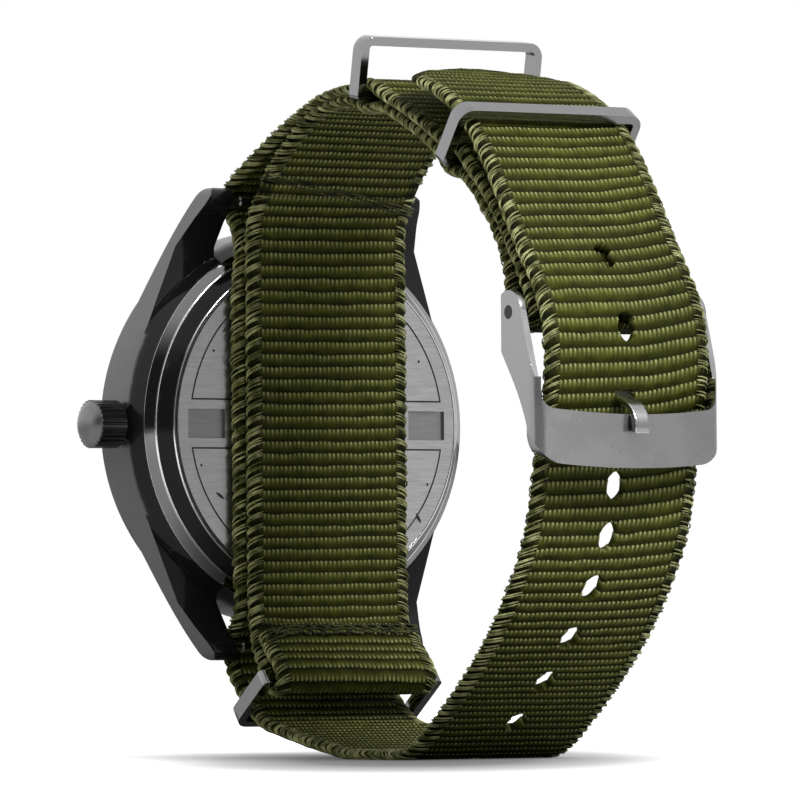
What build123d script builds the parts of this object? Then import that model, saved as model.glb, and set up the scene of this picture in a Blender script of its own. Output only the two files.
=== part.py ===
"""Field watch on a one-piece woven strap, buckled and standing on the strap's underside.

Millimetres. +X is 3 o'clock, +Z is 12 o'clock, the dial faces -Y and the strap loops round to +Y.
The origin lies on the surface that the watch stands on, under the middle of the case's width.
"""
import math
import os

from build123d import *

os.makedirs("parts", exist_ok=True)

# Case
case_radius = 21.0
flank_height = 5.3
flank_back = 3.4
case_back_radius = 20.1
case_back_height = 1.3
case_bore_radius = 17.6
case_chamfer = 0.4
bezel_height = 1.6
bezel_radius = 20.4
bezel_window_radius = 17.3
bezel_lip = 0.5
bezel_chamfer = 0.8

# Lugs
lug_gap = 20.6
lug_reach = 25.0
lug_outer_root = 18.3
lug_outer_tip = 13.3
lug_hole_radius = 0.42
lug_hole_depth = 1.1
lug_round = 1.0
lug_back_shares = [
    (0.40, 0.391), (0.756, 0.299), (0.820, 0.161), (0.880, 0.023), (0.928, -0.103), (0.968, -0.172),
]
lug_tip_share = -0.05
lug_front_shares = [(0.984, 0.138), (0.864, 0.368), (0.712, 0.575), (0.544, 0.759), (0.40, 0.90)]
bar_height = -0.1
bar_reach = 23.6

# Crystal and dial
crystal_thick = 1.4
crystal_drop = 0.4
crystal_dome = 0.25
gasket_thick = 0.5
fit_gap = 0.05
dial_thick = 0.4
dial_to_crystal = 2.3
dial_hole_radius = 1.25
ring_width = 1.6
marker_length = 1.7
marker_width = 0.75
marker_thick = 0.15
marker_inset = 0.5

# Hands
hand_thick = 0.2
hand_gap = 0.25
hour_reach = 8.6
minute_reach = 12.9
seconds_reach = 14.2
seconds_tail = 4.4
hour_width = 1.5
minute_width = 1.2
seconds_width = 0.35
hand_hub_radius = 1.3

# Movement
movement_radius = 13.0
plate_thick = 2.4
works_space = 1.1
works_room = 0.5
bridge_drop = 0.9
bridge_thick = 0.6
bridge_width = 3.2
pillar_reach = 8.0
pillar_radius = 1.2
battery_radius = 4.75
battery_thick = 2.1
battery_lid_height = 0.35
battery_lid_share = 0.85
battery_middle = (-6.9, -4.2)
clamp_thick = 0.2
clamp_width = 1.4
clamp_leg = 0.4
stator_thick = 0.4
stator_corner = (1.8, 4.6)
stator_length = 6.4
stator_width = 4.7
stator_leg = 1.0
stator_bar = 2.0
rotor_hole = 0.8
coil_radius = 0.9
coil_middle_height = 9.0
core_width = 0.8

# Motion works
running_gap = 0.03
cannon_teeth = 12
minute_wheel_teeth = 36
minute_pinion_teeth = 10
hour_wheel_teeth = 40
works_module = 0.16
tooth_gap = 0.05
tooth_root_share = 1.3
tooth_tip_share = 0.6
wheel_thick = 0.22
wheel_lift = 0.5
works_post_radius = 0.3
seconds_radius = 0.15
seconds_wheel_radius = 2.4
post_wall = 0.17
press_gap = 0.01
cannon_wall = 0.2
hour_wall = 0.2

# Crown and stem
crown_radius = 2.55
crown_length = 3.1
crown_cap = 1.0
crown_cap_shares = (0.55, 0.72)
crown_gap = 0.55
crown_height = 4.6
crown_ribs = 28
crown_rib_depth = 0.14
crown_pull = 0.8
tube_radius = 1.25
tube_wall = 0.35
tube_reach = 1.6
tube_start = 17.65
stem_radius = 0.45
stem_inner_end = 7.2
stem_outer_end = 24.0
stem_groove_place = 11.0
stem_groove_width = 0.6
stem_groove_radius = 0.25
crown_room = 0.3
crown_gasket_thick = 0.6
crown_gasket_wall = 0.35
lever_thick = 0.35
lever_arm = 1.7
lever_width = 0.4
lever_hub_radius = 0.6
pinion_place = 8.0
pinion_teeth = 12
pinion_module = 0.12
pinion_length = 1.2
pocket_room = 0.4

# Caseback
seat_ring_radius = 19.1
seat_ring_height = 0.4
rim_radius = 17.8
rim_height = -1.15
rim_wall = 0.9
plate_height = -1.4
plate_back_thick = 0.9
plate_radius = 17.45
notch_width = 3.1
notch_length = 4.6
notch_depth = 0.35
notch_from = 11.6
neck_height = 1.3
sector_gap = 5.0
groove_width = 0.18
groove_depth = 0.12
sector_outer = 16.0
sector_inner = 10.6
back_gasket_radius = 0.3

# Spring bars
bar_radius = 0.75
bar_wall = 0.15
tip_radius = 0.4
tip_flange = 0.25
tip_travel = 1.0
tip_inside = 2.2
spring_wire = 0.12
spring_turns = 7

# Strap
strap_width = 20.0
strap_thick = 1.0
layer_gap = 0.1
soft_gap = 0.3
loop_depth = 58.0
loop_half_height = 35.0
floor_share = 0.9957
floor_length = 9.5
back_clearance = 0.15
strap_step = 1.0
end_paces = (1, 1)
floor_middle = 26.2
tip_round = 5.0
hole_width = 2.2
hole_length = 3.0
hole_pitch = 7.0
behind_half = 18.0
seam_gap = 0.1

# Keepers and ring
keeper_band = 1.7
keeper_thick = 0.95
keeper_side_gap = 0.3
keeper_height = 6.75
ring_height = 7.8
ring_middle = (7.4, -27.0)
keeper_corner = 1.6
keeper_inner_corner = 0.4
keeper_foot = 0.55
pin_radius = 0.5

# Buckle
frame_side_gap = 0.7
frame_thick = 0.7
plate_low = -5.3
plate_high = 0.1
plate_front = 59.2
plate_bow = 1.2
plate_smile = 0.7
arm_end_radius = 2.2
arm_root = 2.4
arm_foot = 1.5
arm_back_steps = [(-2.1, -2.3), (-1.0, -4.4), (0.6, -6.7)]
pivot = (54.5, 9.7)
buckle_pin_radius = 0.7
tongue_width = 1.7
tongue_thick = 0.7
tongue_gap = 0.05
tongue_eye_wall = 0.6
tongue_slot = 3.0
tongue_slot_up = 3.4
plate_corner = 3.2
window_corner = 1.5
frame_bend = 1.6

# Routes of the strap, as shares of the loop's depth and of its half height
tail_shares = [
    (0.534, 1.015), (0.631, 0.966), (0.734, 0.884), (0.810, 0.764), (0.879, 0.600), (0.943, 0.434),
    (0.990, 0.283), (0.998, 0.129), (0.979, -0.029), (0.959, -0.171), (0.943, -0.329), (0.905, -0.483),
    (0.840, -0.631), (0.753, -0.771), (0.659, -0.894), (0.595, -0.965),
]
under_shares = [
    (0.328, -0.986), (0.267, -0.969), (0.195, -0.946), (0.129, -0.923), (0.083, -0.898),
    (0.053, -0.862), (0.027, -0.822), (0.003, -0.783),
]
arch_shares = [(0.010, 0.745), (0.058, 0.789), (0.119, 0.840)]
fold_shares = [
    (0.086, 0.703), (0.109, 0.751), (0.148, 0.809), (0.214, 0.883), (0.278, 0.931), (0.348, 0.954),
    (0.431, 0.954), (0.514, 0.920), (0.583, 0.871), (0.647, 0.817), (0.707, 0.757), (0.771, 0.694),
    (0.822, 0.617), (0.867, 0.529), (0.900, 0.440), (0.921, 0.357),
]
secondary_top_shares = [(0.0595, 0.600), (0.0707, 0.646)]
secondary_low_shares = [(0.058, -0.571), (0.067, -0.651), (0.086, -0.723)]
secondary_back_shares = [(0.1155, -0.694), (0.0931, -0.646), (0.081, -0.611)]
fold_samples = 48
falling_from_share = 0.3
halvings = 40
spread_from_share = 0.9
outer_from_share = 0.22
pin_bump_share = 0.03
free_keeper_share = 0.403
free_keeper_lean_degrees = 0.0
buckle_keeper_share = 0.698
buckle_keeper_lean_degrees = 7.0
hole_steps_share = [-2.1, -0.97, 0.0, 1.33, 2.07, 2.87, 3.77, 4.67, 5.62]
tongue_hole_height = 1.6
tongue_shares = [
    (0.956, 0.263), (0.965, 0.186), (0.966, 0.130), (0.970, 0.085), (0.987, 0.052), (1.017, 0.021),
    (1.043, -0.003), (1.0535, -0.033), (1.0545, -0.070),
]
ring_end_shares = (0.033, -0.889)
ring_wrap_degrees = [200, 250, 300, 350, 30]
bar_wrap_degrees = [205, 180, 150, 115]
buckle_wrap_degrees = [30, 0, -30, -60, -90, -120, -150]

# What the time on the dial turns the hands to
hour_hand_degrees = 304.5
minute_hand_degrees = 54.0
seconds_hand_degrees = 216.0

# Cuts run past the material by this much
overrun = 1.0

# Levels along the case's axis, counted from the lugs' bars towards the dial
flank_front = flank_back + flank_height
bezel_front = flank_front + bezel_height
crystal_front = bezel_front - crystal_drop
crystal_seat = crystal_front - crystal_thick
lip_back = crystal_seat - bezel_lip
dial_front = crystal_seat - dial_to_crystal
dial_back = dial_front - dial_thick
plate_back_level = dial_back - plate_thick
works_floor = dial_back - works_space
bridge_front = plate_back_level - bridge_drop
bridge_back = bridge_front - bridge_thick
battery_back = plate_back_level - battery_thick
neck_top = case_back_height + neck_height
hour_level = dial_front + hand_gap
minute_level = hour_level + hand_thick + hand_gap
seconds_level = minute_level + hand_thick + hand_gap
backplate_seat = plate_height + plate_back_thick

# Radii that follow from the fits
dial_radius = case_bore_radius - fit_gap
crystal_radius = bezel_window_radius - gasket_thick
lip_radius = bezel_window_radius - 2 * gasket_thick
ring_inner_radius = dial_radius - ring_width
post_bore = seconds_radius + running_gap
post_radius = post_bore + post_wall
cannon_bore = post_radius + running_gap
cannon_radius = cannon_bore + cannon_wall
hour_bore = cannon_radius + running_gap
hour_radius = hour_bore + hour_wall
works_distance = works_module * (cannon_teeth + minute_wheel_teeth) / 2
hour_module = 2 * works_distance / (minute_pinion_teeth + hour_wheel_teeth)
bar_bore = bar_radius - bar_wall
tip_guide = bar_bore - running_gap
flange_start = lug_gap / 2 - fit_gap - tip_flange
bar_half = flange_start - tip_travel
cavity_radius = tube_radius + running_gap + crown_gasket_wall
cavity_end = case_radius + tube_reach + crown_room

# Places of the strap's parts, in the plane seen from the crown
behind_depth = back_clearance - plate_height + strap_thick / 2
secondary_depth = behind_depth + strap_thick + 2 * layer_gap
bar_wrap = bar_radius + soft_gap + strap_thick / 2
pin_wrap = pin_radius + soft_gap + strap_thick / 2
buckle_wrap = buckle_pin_radius + soft_gap + strap_thick / 2
layer_half = (strap_thick + layer_gap) / 2
floor_height = -floor_share * loop_half_height
keeper_half = strap_width / 2 + keeper_side_gap + keeper_thick
frame_half = strap_width / 2 + frame_side_gap + frame_thick

# The case's pieces are drawn flat, seen from the dial, and then stood up
facing = Plane(origin=(0, 0, 0), x_dir=(1, 0, 0), z_dir=(0, -1, 0)).location
along_stem = Plane(origin=(0, 0, crown_height), x_dir=(0, 1, 0), z_dir=(1, 0, 0)).location
standing = Location((0, -floor_middle, strap_thick / 2 - floor_height))


def save(name, piece):
    """Write one piece, moved from the case's centre to where the watch stands."""
    export_step(standing * piece, f"parts/{name}.step")


def turned(outline):
    """Solid turned about the case's axis, from points of radius and level."""
    corners = [Vector(radius, 0, level) for radius, level in outline]
    return revolve(make_face(Polyline(*corners, close=True)), Axis.Z)


def disc(radius, low, high, bore=0):
    """Round slice between two levels, with a bore where one is given."""
    shape = Circle(radius)
    if bore:
        shape = shape - Circle(bore)
    return extrude(Plane.XY.offset(low) * shape, high - low)


def block(corner, size):
    """Rectangular block from its lowest corner."""
    return Location(corner) * Box(*size, align=(Align.MIN, Align.MIN, Align.MIN))


def lug():
    """One lug, at the top on the crown's side."""
    back = [Vector(0, reach * lug_reach, level * flank_front) for reach, level in lug_back_shares]
    front = [Vector(0, reach * lug_reach, level * flank_front) for reach, level in lug_front_shares]
    tip = Vector(0, lug_reach, lug_tip_share * flank_front)
    side = Line(back[0], back[1]) + Spline(*back[1:]) + ThreePointArc(back[-1], tip, front[0])
    side = side + Spline(*front) + Line(front[-1], back[0])
    inner = lug_gap / 2
    root = math.sqrt(case_radius**2 - lug_outer_root**2)
    plan = Polyline((inner, lug_reach), (inner, root), (lug_outer_root, root),
                    (lug_outer_tip, lug_reach - lug_round))
    corner = Spline((lug_outer_tip, lug_reach - lug_round), (lug_outer_tip - lug_round, lug_reach),
                    tangents=[(lug_outer_tip - lug_outer_root, lug_reach - root), (-1, 0)],
                    tangent_scalars=end_paces)
    plan = plan + corner + Line((lug_outer_tip - lug_round, lug_reach), (inner, lug_reach))
    prism = extrude(Plane.XY.offset(-flank_front) * make_face(plan), 2 * flank_front)
    return extrude(make_face(side), case_radius) & prism


def four_ways(piece):
    """The piece and its mirror images at the other three corners of the case."""
    pair = piece + mirror(piece, Plane.YZ)
    return pair + mirror(pair, Plane.XZ)


def mid_case():
    """Middle case with its lugs, its bore and the holes for the crown's tube and the bars."""
    body = turned([
        (0, case_back_height), (case_back_radius, case_back_height), (case_radius, flank_back),
        (case_radius, flank_front - case_chamfer), (case_radius - case_chamfer, flank_front),
        (0, flank_front),
    ])
    body = body + four_ways(lug())
    body = body - disc(case_bore_radius, 0, bezel_front)
    groove = case_bore_radius + 3 * back_gasket_radius
    body = body - disc(groove, case_back_height, case_back_height + 3 * back_gasket_radius)
    body = body - along_stem * disc(tube_radius, movement_radius, case_radius + overrun)
    hole = disc(lug_hole_radius, 0, lug_gap / 2 + lug_hole_depth)
    holes = Plane(origin=(0, bar_reach, bar_height), z_dir=(1, 0, 0)).location * hole
    return body - four_ways(holes)


def bezel():
    """Front ring that holds the crystal, with a lip under it."""
    return turned([
        (lip_radius, lip_back), (dial_radius, lip_back), (dial_radius, flank_front),
        (bezel_radius, flank_front), (bezel_radius, bezel_front - bezel_chamfer),
        (bezel_radius - bezel_chamfer, bezel_front), (bezel_window_radius, bezel_front),
        (bezel_window_radius, crystal_seat), (lip_radius, crystal_seat),
    ])


def crystal():
    """Slightly domed front glass."""
    top = crystal_front + crystal_dome
    dome = (crystal_radius**2 + crystal_dome**2) / (2 * crystal_dome)
    return disc(crystal_radius, crystal_seat, top) & Pos(0, 0, top - dome) * Sphere(dome)


def dial_ring():
    """Sloping ring between the dial and the bezel's lip."""
    return turned([
        (ring_inner_radius, dial_front), (dial_radius, dial_front), (dial_radius, lip_back),
        (lip_radius, lip_back),
    ])


def dial_markers():
    """Twelve raised hour markers."""
    reach = ring_inner_radius - marker_inset - marker_length
    marker = block((-marker_width / 2, reach, dial_front), (marker_width, marker_length, marker_thick))
    return Compound([Rot(0, 0, 30 * hour) * marker for hour in range(12)])


def pointed_hand(reach, width, bore, level):
    """Hand that tapers to a point, with a round hub."""
    shoulder = reach - 2 * width
    blade = Polygon((-width / 2, 0), (width / 2, 0), (width / 2, shoulder), (0, reach),
                    (-width / 2, shoulder), align=None)
    shape = blade + Circle(hand_hub_radius) - Circle(bore)
    return extrude(Plane.XY.offset(level) * shape, hand_thick)


def seconds_hand():
    """Thin hand with a round counterweight on its tail."""
    blade = Polygon((-seconds_width / 2, -seconds_tail), (seconds_width / 2, -seconds_tail),
                    (seconds_width / 2, seconds_reach), (-seconds_width / 2, seconds_reach), align=None)
    weight = Pos(0, -seconds_tail) * Circle(2 * seconds_width)
    shape = blade + weight + Circle(hour_radius) - Circle(seconds_radius + press_gap)
    return extrude(Plane.XY.offset(seconds_level) * shape, hand_thick)


def gear(teeth, module, low, high, bore):
    """Wheel with straight-sided teeth, the first of them along X."""
    root = module * (teeth / 2 - tooth_root_share)
    tip = module * (teeth / 2 + 1) - tooth_gap
    half = module * math.pi / 4 - tooth_gap / 2
    tooth = Polygon((root - module, -half * tooth_root_share), (tip, -half * tooth_tip_share),
                    (tip, half * tooth_tip_share), (root - module, half * tooth_root_share), align=None)
    shape = Circle(root) + [Rot(0, 0, 360 * step / teeth) * tooth for step in range(teeth)]
    return extrude(Plane.XY.offset(low) * (shape - Circle(bore)), high - low)


def cannon_pinion():
    """Tube that carries the minute hand, with the pinion that drives the minute wheel."""
    low = works_floor + fit_gap
    wheel = gear(cannon_teeth, works_module, low, low + wheel_thick, cannon_bore)
    return wheel + disc(cannon_radius, low, minute_level + hand_thick, cannon_bore)


def minute_wheel():
    """Wheel and pinion between the cannon pinion and the hour wheel."""
    low = works_floor + fit_gap
    bore = works_post_radius + running_gap
    turn = Rot(0, 0, 180 / minute_wheel_teeth)
    wheel = turn * gear(minute_wheel_teeth, works_module, low, low + wheel_thick, bore)
    turn = Rot(0, 0, 180 / minute_pinion_teeth)
    pinion = turn * gear(minute_pinion_teeth, hour_module, low, low + wheel_lift + wheel_thick, bore)
    return Pos(-works_distance, 0, 0) * (wheel + pinion)


def hour_wheel():
    """Wheel on the tube that carries the hour hand."""
    low = works_floor + fit_gap + wheel_lift
    wheel = gear(hour_wheel_teeth, hour_module, low, low + wheel_thick, hour_bore)
    return wheel + disc(hour_radius, low, hour_level + hand_thick, hour_bore)


def seconds_arbor():
    """Shaft of the seconds hand, with the wheel that turns it."""
    shaft = disc(seconds_radius, bridge_back, seconds_level + hand_thick)
    low = plate_back_level - wheel_lift
    return shaft + disc(seconds_wheel_radius, low, low + wheel_thick)


def lever_place():
    """Where the setting lever turns, seen from the dial."""
    return stem_groove_place + crown_pull / 2, lever_arm + stem_groove_radius + fit_gap


def main_plate():
    """Plate that carries the works, with its posts, pockets and the stem's bore."""
    plate = disc(movement_radius, plate_back_level, dial_back)
    room = works_module * (minute_wheel_teeth / 2 + 1) + works_room
    plate = plate - Pos(-works_distance, 0, 0) * disc(room, works_floor, dial_front)
    plate = plate - disc(hour_module * hour_wheel_teeth / 2 + works_room, works_floor, dial_front)
    pinion_room = pinion_module * (pinion_teeth / 2 + 1) + fit_gap
    plate = plate - block(
        (pinion_place - pocket_room, -pinion_room, plate_back_level - overrun),
        (pinion_length + crown_pull + 2 * pocket_room, 2 * pinion_room,
         overrun + crown_height + pinion_room - plate_back_level),
    )
    across, up = lever_place()
    pocket_top = crown_height + lever_thick / 2 + fit_gap
    plate = plate - block(
        (across - lever_arm, -stem_radius, plate_back_level - overrun),
        (2 * lever_arm, stem_radius + up + lever_hub_radius + pocket_room,
         overrun + pocket_top - plate_back_level),
    )
    plate = plate + Pos(across, up, 0) * disc(works_post_radius, plate_back_level, pocket_top)
    bore = disc(stem_radius + running_gap, stem_inner_end - fit_gap, movement_radius + overrun)
    plate = plate - along_stem * bore
    minute_post = disc(works_post_radius, works_floor, dial_back - fit_gap)
    plate = plate + Pos(-works_distance, 0, 0) * minute_post
    plate = plate + disc(post_radius, works_floor, minute_level)
    return plate - disc(post_bore, plate_back_level - overrun, crystal_seat)


def train_bridge():
    """Bar across the back of the main plate, on two pillars, that carries the arbor's end."""
    bar = Plane.XY.offset(bridge_back) * SlotCenterToCenter(2 * pillar_reach, bridge_width, rotation=90)
    bridge = extrude(bar, bridge_thick)
    pillar = Pos(0, pillar_reach, 0) * disc(pillar_radius, bridge_back, plate_back_level)
    bridge = bridge + pillar + mirror(pillar, Plane.XZ)
    return bridge - disc(post_bore, bridge_back - overrun, plate_back_level)


def battery():
    """Button cell with a narrower lid on its back."""
    lid_front = battery_back + battery_lid_height
    can = disc(battery_radius, lid_front, plate_back_level)
    lid = disc(battery_radius * battery_lid_share, battery_back, lid_front)
    return Pos(*battery_middle, 0) * (can + lid)


def battery_clamp():
    """Spring strip over the battery, on two legs beside it."""
    reach = battery_radius + works_room + clamp_leg
    strip = block((-reach, -clamp_width / 2, battery_back - clamp_thick),
                  (2 * reach, clamp_width, clamp_thick))
    leg = block((-reach, -clamp_width / 2, battery_back), (clamp_leg, clamp_width, battery_thick))
    clamp = strip + leg + mirror(leg, Plane.YZ)
    across = math.degrees(math.atan2(battery_middle[1], battery_middle[0])) + 90
    return Pos(*battery_middle, 0) * Rot(0, 0, across) * clamp


def stator():
    """Flat iron yoke of the stepping motor, with the rotor's hole."""
    left, low = stator_corner
    face = Location((left, low)) * Rectangle(stator_length, stator_width, align=(Align.MIN, Align.MIN))
    window = Rectangle(stator_length - 2 * stator_leg, stator_width, align=(Align.MIN, Align.MIN))
    face = face - Location((left + stator_leg, low + stator_bar)) * window
    face = face - Location((left + stator_length / 2, low + stator_bar / 2)) * Circle(rotor_hole)
    return extrude(Plane.XY.offset(plate_back_level - stator_thick) * face, stator_thick)


def coil():
    """Winding on a flat core whose ends lie on the yoke."""
    left = stator_corner[0]
    core_back = plate_back_level - 2 * stator_thick
    core = block((left, coil_middle_height - core_width / 2, core_back),
                 (stator_length, core_width, stator_thick))
    winding_start = left + stator_leg + fit_gap
    winding_end = left + stator_length - stator_leg - fit_gap
    across = Plane(origin=(0, coil_middle_height, plate_back_level - coil_radius - fit_gap),
                   x_dir=(0, 1, 0), z_dir=(1, 0, 0)).location
    return core + across * disc(coil_radius, winding_start, winding_end)


def movement_holder():
    """Spacer between the movement and the case's bore."""
    ring = disc(dial_radius, neck_top, dial_back, movement_radius + fit_gap)
    gate = disc(stem_radius + works_room, movement_radius - overrun, case_radius)
    return ring - along_stem * gate


def stem():
    """Stem from the movement to the crown, with the groove for the setting lever."""
    start = stem_groove_place - stem_groove_width / 2
    shaft = disc(stem_radius, stem_inner_end, stem_outer_end)
    groove = disc(case_radius, start, start + stem_groove_width, stem_groove_radius)
    return along_stem * (shaft - groove)


def sliding_pinion():
    """Toothed sleeve on the stem."""
    end = pinion_place + pinion_length
    return along_stem * gear(pinion_teeth, pinion_module, pinion_place, end, stem_radius + press_gap)


def setting_lever():
    """Lever whose nose stands in the stem's groove."""
    across, up = lever_place()
    low = crown_height - lever_thick / 2
    high = crown_height + lever_thick / 2
    hub = disc(lever_hub_radius, low, high)
    arm = block((-lever_width / 2, -lever_arm, low), (lever_width, lever_arm, lever_thick))
    swing = math.degrees(math.asin(crown_pull / 2 / lever_arm))
    lever = Rot(0, 0, -swing) * (hub + arm) - disc(works_post_radius + running_gap, low, high)
    return Pos(across, up, 0) * lever


def crown():
    """Knurled crown with a domed cap, a cavity for the tube and a bore for the stem."""
    start = case_radius + crown_gap
    end = start + crown_length
    notch = Pos(crown_radius, 0) * Circle(crown_rib_depth)
    notches = [Rot(0, 0, 360 * step / crown_ribs) * notch for step in range(crown_ribs)]
    shape = Circle(crown_radius) - notches
    body = extrude(Plane.XY.offset(start) * shape, crown_length)
    edge = Vector(crown_radius - crown_rib_depth, 0, end)
    middle = Vector(crown_radius * crown_cap_shares[0], 0, end + crown_cap * crown_cap_shares[1])
    top = Vector(0, 0, end + crown_cap)
    cap = Line((0, 0, end), edge) + ThreePointArc(edge, middle, top) + Line(top, (0, 0, end))
    body = body + revolve(make_face(cap), Axis.Z)
    body = body - disc(cavity_radius, start, cavity_end)
    return along_stem * (body - disc(stem_radius + press_gap, start, stem_outer_end))


def crown_tube():
    """Tube in the case's wall that the crown slides on."""
    bore = tube_radius - tube_wall
    return along_stem * disc(tube_radius, tube_start, case_radius + tube_reach, bore)


def crown_gasket():
    """Seal between the crown's cavity and the tube."""
    start = case_radius + crown_gap + fit_gap
    bore = tube_radius + running_gap
    return along_stem * disc(cavity_radius, start, start + crown_gasket_thick, bore)


def caseback_rim():
    """Screwed ring of the caseback, with its neck in the case's bore and a seat for the plate."""
    return turned([
        (dial_radius - rim_wall, neck_top), (dial_radius, neck_top), (dial_radius, seat_ring_height),
        (seat_ring_radius, seat_ring_height), (rim_radius, rim_height),
        (plate_radius + fit_gap, rim_height), (plate_radius + fit_gap, backplate_seat),
        (dial_radius - rim_wall, backplate_seat),
    ])


def seat_ring():
    """Polished ring between the middle case and the caseback."""
    return turned([
        (case_bore_radius, seat_ring_height), (seat_ring_radius, seat_ring_height),
        (case_back_radius, case_back_height), (case_bore_radius, case_back_height),
    ])


def caseback_plate():
    """Brushed plate with four wrench notches and engraved sectors."""
    plate = disc(plate_radius, plate_height, backplate_seat)
    notch = block((notch_from, -notch_width / 2, plate_height - overrun),
                  (notch_length, notch_width, overrun + notch_depth))
    for quarter in range(4):
        plate = plate - Rot(0, 0, 90 * quarter) * notch
    span = 2 * sector_outer + overrun
    sectors = Circle(sector_outer) - Circle(sector_inner)
    sectors = sectors - Rectangle(sector_gap, span) - Rectangle(span, sector_gap)
    lines = sectors - offset(sectors, -groove_width, kind=Kind.INTERSECTION)
    return plate - extrude(Plane.XY.offset(plate_height) * lines, groove_depth)


def caseback_gasket():
    """Round seal in the groove behind the middle case."""
    level = case_back_height + back_gasket_radius + fit_gap
    return Pos(0, 0, level) * Torus(case_bore_radius + 1.5 * back_gasket_radius, back_gasket_radius)


def bar_location(side):
    """Middle of a spring bar, its axis along X, at the top (1) or the bottom (-1)."""
    return Plane(origin=(0, -bar_height, side * bar_reach), x_dir=(0, 1, 0), z_dir=(1, 0, 0)).location


def bar_tip(way):
    """One sprung tip, towards the crown (1) or away from it (-1)."""
    tip = disc(tip_guide, bar_half - tip_inside, flange_start)
    tip = tip + disc(bar_radius, flange_start, flange_start + tip_flange)
    end = lug_gap / 2 + lug_hole_depth - 2 * fit_gap
    tip = tip + disc(tip_radius, flange_start + tip_flange, end)
    return tip if way > 0 else mirror(tip, Plane.XY)


def bar_spring():
    """Wire spring between the two tips, inside the tube."""
    half = bar_half - tip_inside - tip_travel - 2 * spring_wire
    coil_path = Helix(2 * half / spring_turns, 2 * half, bar_bore - spring_wire)
    wire = Plane(origin=coil_path @ 0, z_dir=coil_path % 0) * Circle(spring_wire / 2)
    return Pos(0, 0, -half) * sweep(wire, path=coil_path)


def side_point(shares):
    """Point of a route from its shares of the loop's depth and half height."""
    return Vector(shares[0] * loop_depth, shares[1] * loop_half_height)


def round_points(middle, radius, degrees):
    """Points round a bar, by their angles from the depth's direction."""
    places = []
    for angle in degrees:
        turn = math.radians(angle)
        places.append(Vector(middle[0], middle[1]) + Vector(math.cos(turn), math.sin(turn)) * radius)
    return places


def across(direction):
    """The direction turned a quarter left."""
    return Vector(-direction.Y, direction.X)


def side_edge(route, distance):
    """Curve at a distance to the left of a route."""
    if route.geom_type == GeomType.LINE:
        shift = across(route % 0) * distance
        return Line(route @ 0 + shift, route @ 1 + shift)
    count = math.ceil(route.length / strap_step)
    places = [route @ (step / count) + across(route % (step / count)) * distance
              for step in range(count + 1)]
    return Spline(*places, tangents=[route % 0, route % 1], tangent_scalars=end_paces)


def ribbon(routes, thick, width):
    """Band of one thickness along a chain of routes, seen from the crown."""
    left = [side_edge(route, thick / 2) for route in routes]
    right = [side_edge(route, -thick / 2) for route in routes]
    outline = left + right
    outline.append(Line(left[0] @ 0, right[0] @ 0))
    outline.append(Line(left[-1] @ 1, right[-1] @ 1))
    face = make_face(Wire(outline))
    return extrude(Plane.YZ * face, width / 2, both=True)


def fold_base():
    """Middle line between the two layers of the fold, from the seam to the buckle."""
    return Spline(*[side_point(shares) for shares in fold_shares])


def fold_half(share):
    """Half the distance between the middles of the fold's layers."""
    room = pin_wrap - layer_half
    bump = 0
    for place in (free_keeper_share, buckle_keeper_share):
        bump += math.exp(-(((share - place) / pin_bump_share) ** 2))
    spread = max(0, (share - spread_from_share) / (1 - spread_from_share))
    return layer_half + room * bump + (buckle_wrap - layer_half) * spread**2


def fold_layer(side, first_share):
    """Points of one layer of the fold, the outer (1) or the inner (-1)."""
    base = fold_base()
    places = []
    for step in range(fold_samples):
        share = step / fold_samples
        if share >= first_share:
            places.append(base @ share + across(base % share) * side * fold_half(share))
    return places


def tail_route():
    """From the strap's tip round the outside of the loop to the floor."""
    floor_start = Vector(floor_middle + floor_length / 2, floor_height)
    points = [side_point(shares) for shares in tail_shares] + [floor_start]
    slope = (points[1] - points[0]).normalized()
    return Spline(*points, tangents=[slope, (-1, 0)], tangent_scalars=end_paces)


def low_route():
    """From the floor through the ring and round the lower bar to the case's back."""
    start = Vector(floor_middle - floor_length / 2, floor_height)
    bar = (-bar_height, -bar_reach)
    points = [start] + [side_point(shares) for shares in under_shares]
    points += round_points(bar, bar_wrap, bar_wrap_degrees)
    points.append(Vector(behind_depth, -behind_half))
    return Spline(*points, tangents=[(-1, 0), (0, 1)], tangent_scalars=end_paces)


def high_route():
    """From the case's back round the upper bar, over the fold, round the buckle's bar and back."""
    bar = (-bar_height, bar_reach)
    points = [Vector(behind_depth, behind_half)]
    points += round_points(bar, bar_wrap, [-angle for angle in reversed(bar_wrap_degrees)])
    points += [side_point(shares) for shares in arch_shares]
    points += fold_layer(1, outer_from_share)
    points += round_points(pivot, buckle_wrap, buckle_wrap_degrees)
    inner = fold_layer(-1, 0)
    points += reversed(inner)
    slope = (inner[0] - inner[1]).normalized()
    return Spline(*points, tangents=[(0, 1), slope], tangent_scalars=end_paces)


def share_at_height(route, height):
    """Share of a falling route where it passes a height."""
    low = falling_from_share
    high = 1
    for _ in range(halvings):
        middle = (low + high) / 2
        if (route @ middle).Y > height:
            low = middle
        else:
            high = middle
    return low


def on_strap(route, distance):
    """Frame on a route at a length along it: X across the strap, Y along it, Z out of it."""
    place = route.position_at(distance, position_mode=PositionMode.LENGTH)
    along = route.tangent_at(distance, position_mode=PositionMode.LENGTH)
    out = across(along)
    return Plane(origin=(0, place.X, place.Y), x_dir=(1, 0, 0), z_dir=(0, out.X, out.Y))


def strap_holes(route):
    """Slots along the tail, the tongue's hole among them."""
    start = route.trim(0, share_at_height(route, tongue_hole_height)).length
    slot = SlotOverall(hole_length, hole_width, rotation=90)
    cutter = extrude(slot, strap_thick, both=True)
    return [on_strap(route, start + step * hole_pitch).location * cutter for step in hole_steps_share]


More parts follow.
